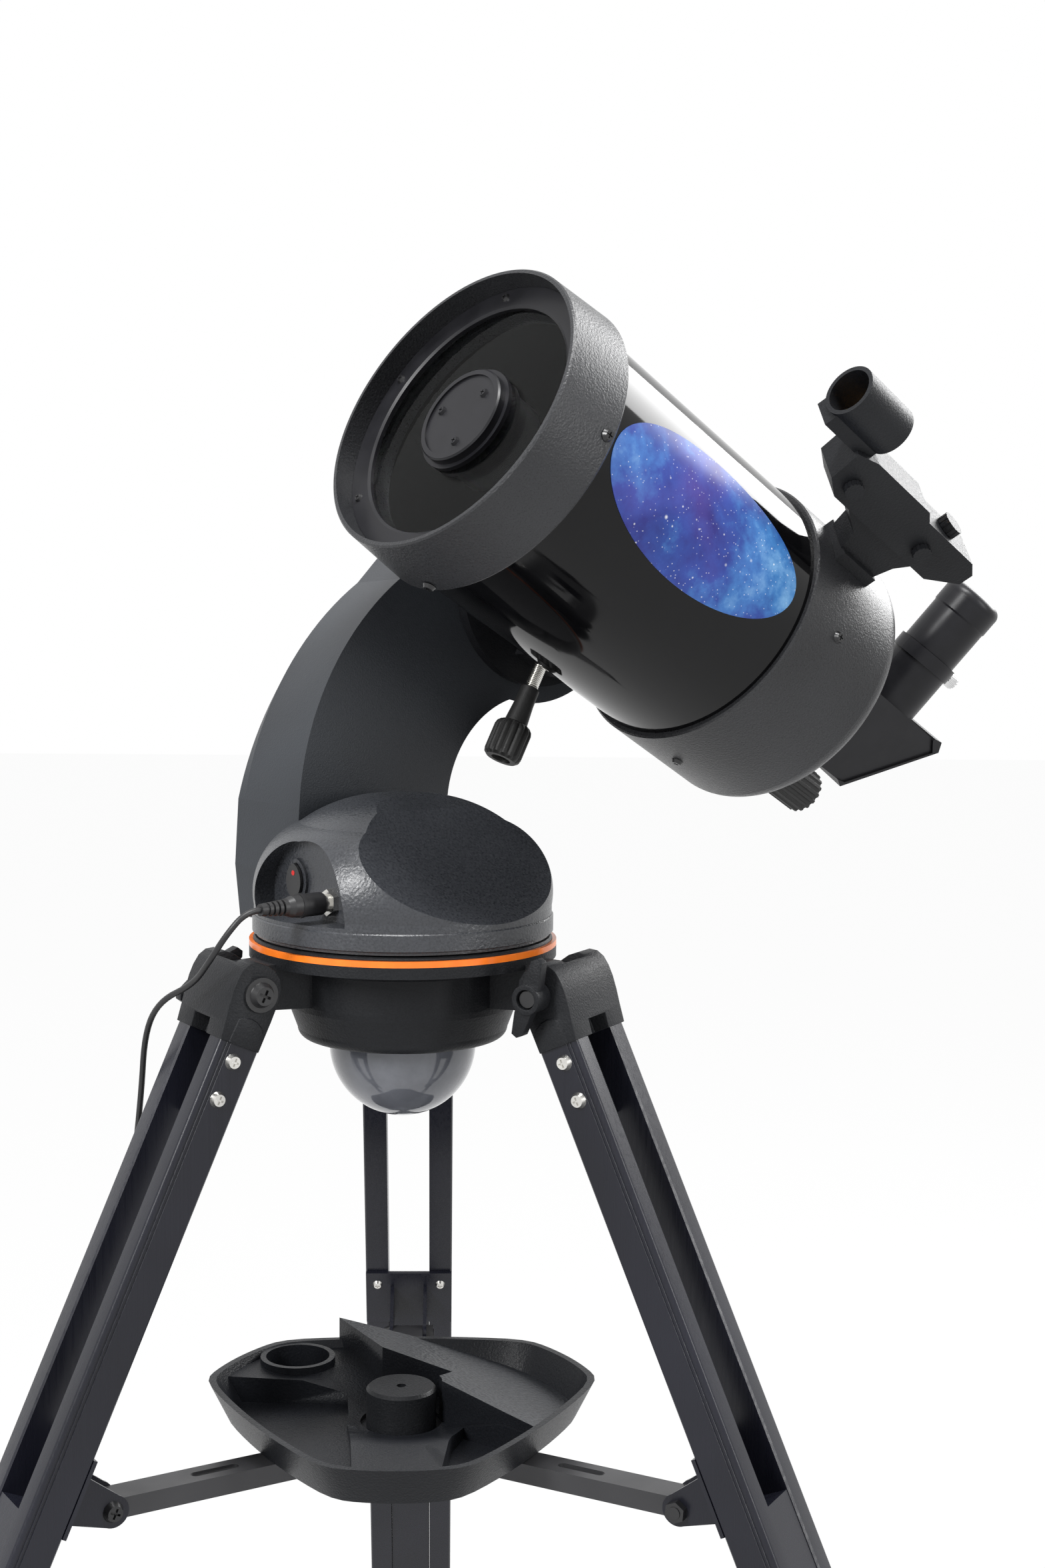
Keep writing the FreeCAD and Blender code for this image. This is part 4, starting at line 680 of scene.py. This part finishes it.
make_rails()
for leg_number, leg_heading in enumerate(LEG_HEADINGS, 1):
    make_bracket(leg_number, leg_heading)
    make_wing(leg_number, leg_heading)

# ---------------------------------------------------------------- tube clamp knob and switch
CLAMP_AT = (-156.0, -85.6)         # the clamp screw's place in the tube's frame
FLUTES = 14
FLUTE_DEPTH = 1.3
# Stations along the screw: distance from the tube's axis, radius, share of the flutes' depth.
GRIP = [(58.0, 4.4, 0.0), (58.8, 5.2, 0.0), (68.0, 5.4, 0.0), (79.5, 6.4, 0.0), (80.4, 8.6, 0.2),
        (82.0, 10.0, 0.8), (84.0, 10.6, 1.0), (97.5, 10.6, 1.0), (99.6, 10.0, 0.7),
        (101.0, 8.4, 0.0), (101.0, 5.4, 0.0), (97.0, 5.0, 0.0)]
SCREW_ENDS = (34.2, 59.5)
SCREW_R = 3.9
THREAD_ROOT_R = 3.4
THREAD_START = 42.0
THREAD_TURNS = 17                  # at 1 mm pitch


def turned(stations, count=112):
    """Turned form along the clamp screw, in the tube's frame."""
    rings = []
    for distance, radius, flute in stations:
        ring = []
        for i in range(count):
            a = 2 * math.pi * i / count
            r = radius - FLUTE_DEPTH * flute * (0.5 - 0.5 * math.cos(FLUTES * a)) ** 2
            ring.append((CLAMP_AT[0] + r * math.cos(a), CLAMP_AT[1] + r * math.sin(a), -distance))
        rings.append(ring)
    return solid(rings)


def make_clamp_knob():
    """Rubber grip on a bright threaded screw."""
    grip = turned(GRIP)
    finish_piece(grip, "clamp_grip", TUBE_PLACE, "clamp_knob", "rubber")
    thread = [(SCREW_ENDS[0], SCREW_R, 0)]
    for turn in range(THREAD_TURNS):
        start = THREAD_START + turn
        thread += [(start, SCREW_R, 0), (start + 0.5, THREAD_ROOT_R, 0)]
    screw = turned(thread + [(SCREW_ENDS[1], SCREW_R, 0)], 24)
    finish_piece(screw, "clamp_screw", TUBE_PLACE, "clamp_knob", "steel")
    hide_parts("clamp_knob")
    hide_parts("clamp_knob")


DOT_AT = (-12.0, 35.6)             # on the rocker's face, in the mount's frame
DOT_R = 1.25
DOT_FACES = (59.0, 59.55)


def make_switch_dot():
    """Small red mark on the rocker."""
    outline = disc(DOT_AT, DOT_R, 24)
    dot = solid([[(x, y, z) for y, z in outline] for x in DOT_FACES])
    finish_piece(dot, "switch_mark", MOUNT_PLACE, "rocker_switch", "red_dot")


make_clamp_knob()
make_switch_dot()

# ---------------------------------------------------------------- printed oval on the tube
DECAL_ALONG = -88.0                # its middle, along the tube
DECAL_TURN = math.radians(2.0)     # and around it
DECAL_LONG = 71.0                  # half its length
DECAL_WIDE = 34.0                  # half its width, along the curve
DECAL_R = 72.65
DECAL_HALF_THICK = 0.3


def make_decal():
    """Thin oval film that follows the tube."""
    def at(radius, share, turn):
        along = DECAL_ALONG + share * DECAL_LONG * math.cos(turn)
        angle = DECAL_TURN + share * DECAL_WIDE * math.sin(turn) / DECAL_R
        return (along, radius * math.cos(angle), radius * math.sin(angle))

    build = bmesh.new()
    count = 96
    shares = (0.25, 0.5, 0.75, 1.0)
    for radius in (DECAL_R + DECAL_HALF_THICK, DECAL_R - DECAL_HALF_THICK):
        hub = build.verts.new(at(radius, 0.0, 0.0))
        rows = [[build.verts.new(at(radius, share, 2 * math.pi * i / count))
                 for i in range(count)] for share in shares]
        for i in range(count):
            j = (i + 1) % count
            build.faces.new((hub, rows[0][i], rows[0][j]))
            for inner, outer in zip(rows, rows[1:]):
                build.faces.new((inner[i], outer[i], outer[j], inner[j]))
        if radius > DECAL_R:
            rim = rows[-1]
    for i in range(count):
        j = (i + 1) % count
        build.faces.new((rim[i], rows[-1][i], rows[-1][j], rim[j]))
    finish_piece(made("decal", build), "printed_oval", TUBE_PLACE, "optical_tube",
                 "decal")


make_decal()

# ---------------------------------------------------------------- power cord, in metres
CORD_DIAMETER = 0.003
CORD_EXIT = (-0.06556, -0.16937, 0.684)
CORD_ROUTE = [
    CORD_EXIT, (-0.0715, -0.1744, 0.684), (-0.0805, -0.1765, 0.6735),
    (-0.0890, -0.1710, 0.6600), (-0.0985, -0.1560, 0.6460),
    (-0.11616, -0.14244, 0.6357), (-0.1254, -0.12871, 0.61754),
    (-0.12782, -0.12492, 0.58576), (-0.13215, -0.12858, 0.54215),
    (-0.14184, -0.13705, 0.49516), (-0.16044, -0.14895, 0.44916),
    (-0.18306, -0.16201, 0.40392), (-0.20621, -0.1748, 0.35553),
    (-0.22837, -0.18643, 0.30428), (-0.2497, -0.19759, 0.2515),
    (-0.27088, -0.20809, 0.19852), (-0.29325, -0.21927, 0.14616),
    (-0.31672, -0.23052, 0.09644), (-0.3374, -0.23899, 0.05268), (-0.326, -0.23, 0.02),
    (-0.314, -0.2195, 0.0032), (-0.298, -0.2065, 0.0016)]
CORD_TAIL = [(-0.2475, -0.213, 0.007), (-0.2465, -0.23, 0.0045), (-0.25, -0.247, 0.005),
             (-0.262, -0.26, 0.0085)]
COIL_CENTRE = (-0.268, -0.213)
COIL_STEPS = 14               # control points on each turn
COIL_POINTS = 117             # ends where the tail leaves the coil's side
COIL_HELD = 0.6               # share of a turn before it leads over to the next row
COIL_ROWS = [(0.0150, 0.0016), (0.0180, 0.0016), (0.0205, 0.0018), (0.0193, 0.0045),
             (0.0164, 0.0044), (0.0142, 0.0046), (0.0157, 0.0072), (0.0186, 0.0072),
             (0.0200, 0.0070)]
COIL_START = math.radians(122.0)


def coil_points():
    """Turns lying beside and on each other; each row is a turn's radius and height."""
    points = []
    for step in range(COIL_POINTS):
        turn = step / COIL_STEPS
        row = int(turn)
        following = min(row + 1, len(COIL_ROWS) - 1)
        share = max(0.0, (turn - row - COIL_HELD) / (1 - COIL_HELD))
        radius = COIL_ROWS[row][0] * (1 - share) + COIL_ROWS[following][0] * share
        height = COIL_ROWS[row][1] * (1 - share) + COIL_ROWS[following][1] * share
        angle = COIL_START - 2 * math.pi * turn
        points.append((COIL_CENTRE[0] + radius * math.cos(angle),
                       COIL_CENTRE[1] + radius * math.sin(angle), height))
    return points


def make_cord():
    """One line from the power plug over the left leg down to the coil and the 12 V plug."""
    curve = bpy.data.curves.new("power_cord", "CURVE")
    curve.dimensions = "3D"
    curve.bevel_depth = CORD_DIAMETER / 2
    curve.bevel_resolution = 5
    curve.resolution_u = 6
    curve.use_fill_caps = True
    spline = curve.splines.new("NURBS")
    route = CORD_ROUTE + coil_points() + CORD_TAIL
    spline.points.add(len(route) - 1)
    for point, place in zip(spline.points, route):
        point.co = (*place, 1.0)
    spline.order_u = 3
    spline.use_endpoint_u = True
    cord = linked("power_cord", curve)
    curve.materials.append(materials["cable"])
    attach(cord, "root")
    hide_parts("cord", "cord_coil")


make_cord()

# ---------------------------------------------------------------- studio, in metres
FLOOR_SIZE = 14.0
FLOOR_AT = (0.0, 2.0, -0.0002)
FLOOR_SEEN_WHITE = 0.96            # the rest of what is seen of the floor is its lit colour
SOFT_LIGHT = 0.20                  # the world's own light on the object
SHOWN_LIGHT = 1.0                  # and what is seen of the world
# name, place, target, size, watts
SOFTBOXES = (
    ("key_softbox", (-1.5, -1.7, 2.0), (0.0, -0.1, 0.7), (0.40, 1.2), 62.0),
    ("fill_softbox", (2.0, -1.5, 1.4), (0.0, 0.0, 0.7), (0.35, 1.3), 20.0),
    ("top_softbox", (0.1, -0.5, 2.6), (0.0, -0.1, 0.8), (1.0, 0.4), 46.0),
    ("rim_softbox", (1.65, 1.15, 1.66), (0.05, -0.05, 0.85), (1.5, 1.0), 44.0),
)


def seen_rays(tree):
    """One where the ray is a camera, mirror or glass ray, otherwise zero."""
    rays = tree.nodes.new("ShaderNodeLightPath")
    chosen = rays.outputs["Is Camera Ray"]
    for name in ("Is Glossy Ray", "Is Transmission Ray"):
        either = tree.nodes.new("ShaderNodeMath")
        either.operation = "MAXIMUM"
        tree.links.new(chosen, either.inputs[0])
        tree.links.new(rays.outputs[name], either.inputs[1])
        chosen = either.outputs[0]
    return chosen


def seen_white(material, share):
    """Lets camera, mirror and glass rays see the floor almost white, with a faint shadow."""
    tree = material.node_tree
    output = tree.nodes["Material Output"]
    lit = output.inputs["Surface"].links[0].from_socket
    glow = tree.nodes.new("ShaderNodeEmission")
    glow.inputs["Color"].default_value = (1.0, 1.0, 1.0, 1.0)
    glow.inputs["Strength"].default_value = 1.0
    either = seen_rays(tree)
    amount = tree.nodes.new("ShaderNodeMath")
    amount.operation = "MULTIPLY"
    amount.inputs[1].default_value = share
    tree.links.new(either, amount.inputs[0])
    mix = tree.nodes.new("ShaderNodeMixShader")
    tree.links.new(amount.outputs[0], mix.inputs["Fac"])
    tree.links.new(lit, mix.inputs[1])
    tree.links.new(glow.outputs[0], mix.inputs[2])
    tree.links.new(mix.outputs[0], output.inputs["Surface"])


def make_floor():
    """Plain pale floor that keeps the object's shadow."""
    bpy.ops.mesh.primitive_plane_add(size=FLOOR_SIZE, location=FLOOR_AT)
    floor = bpy.context.object
    floor.name = "studio_floor"
    shader = Shader("pale_floor")
    shader.set(Roughness=0.8, Specular_IOR_Level=0.2)
    tone = shader.noise(3.0, 2.0)
    shader.colour(shader.ramp(tone, [(0.0, (0.84, 0.84, 0.84)), (1.0, (0.88, 0.88, 0.88))]))
    seen_white(shader.material, FLOOR_SEEN_WHITE)
    floor.data.materials.append(shader.material)


def make_world():
    """Weak even light on the object, and white where the world is seen."""
    world = bpy.data.worlds.new("studio")
    bpy.context.scene.world = world
    world.use_nodes = True
    tree = world.node_tree
    tree.nodes.clear()
    output = tree.nodes.new("ShaderNodeOutputWorld")
    soft = tree.nodes.new("ShaderNodeBackground")
    soft.inputs["Color"].default_value = (1.0, 1.0, 1.0, 1.0)
    soft.inputs["Strength"].default_value = SOFT_LIGHT
    shown = tree.nodes.new("ShaderNodeBackground")
    shown.inputs["Color"].default_value = (1.0, 1.0, 1.0, 1.0)
    shown.inputs["Strength"].default_value = SHOWN_LIGHT
    either = seen_rays(tree)
    mix = tree.nodes.new("ShaderNodeMixShader")
    tree.links.new(either, mix.inputs["Fac"])
    tree.links.new(soft.outputs[0], mix.inputs[1])
    tree.links.new(shown.outputs[0], mix.inputs[2])
    tree.links.new(mix.outputs[0], output.inputs["Surface"])


def add_light(name, place, target, size, power):
    """Rectangular area light that looks at its target."""
    data = bpy.data.lights.new(name, "AREA")
    data.shape = "RECTANGLE"
    data.size = size[0]
    data.size_y = size[1]
    data.energy = power
    lamp = linked(name, data)
    lamp.location = place
    lamp.rotation_euler = (Vector(target) - Vector(place)).to_track_quat("-Z", "Y").to_euler()


make_floor()
make_world()
for softbox in SOFTBOXES:
    add_light(*softbox)

bpy.context.scene.view_settings.view_transform = "Standard"

bpy.context.view_layer.update()
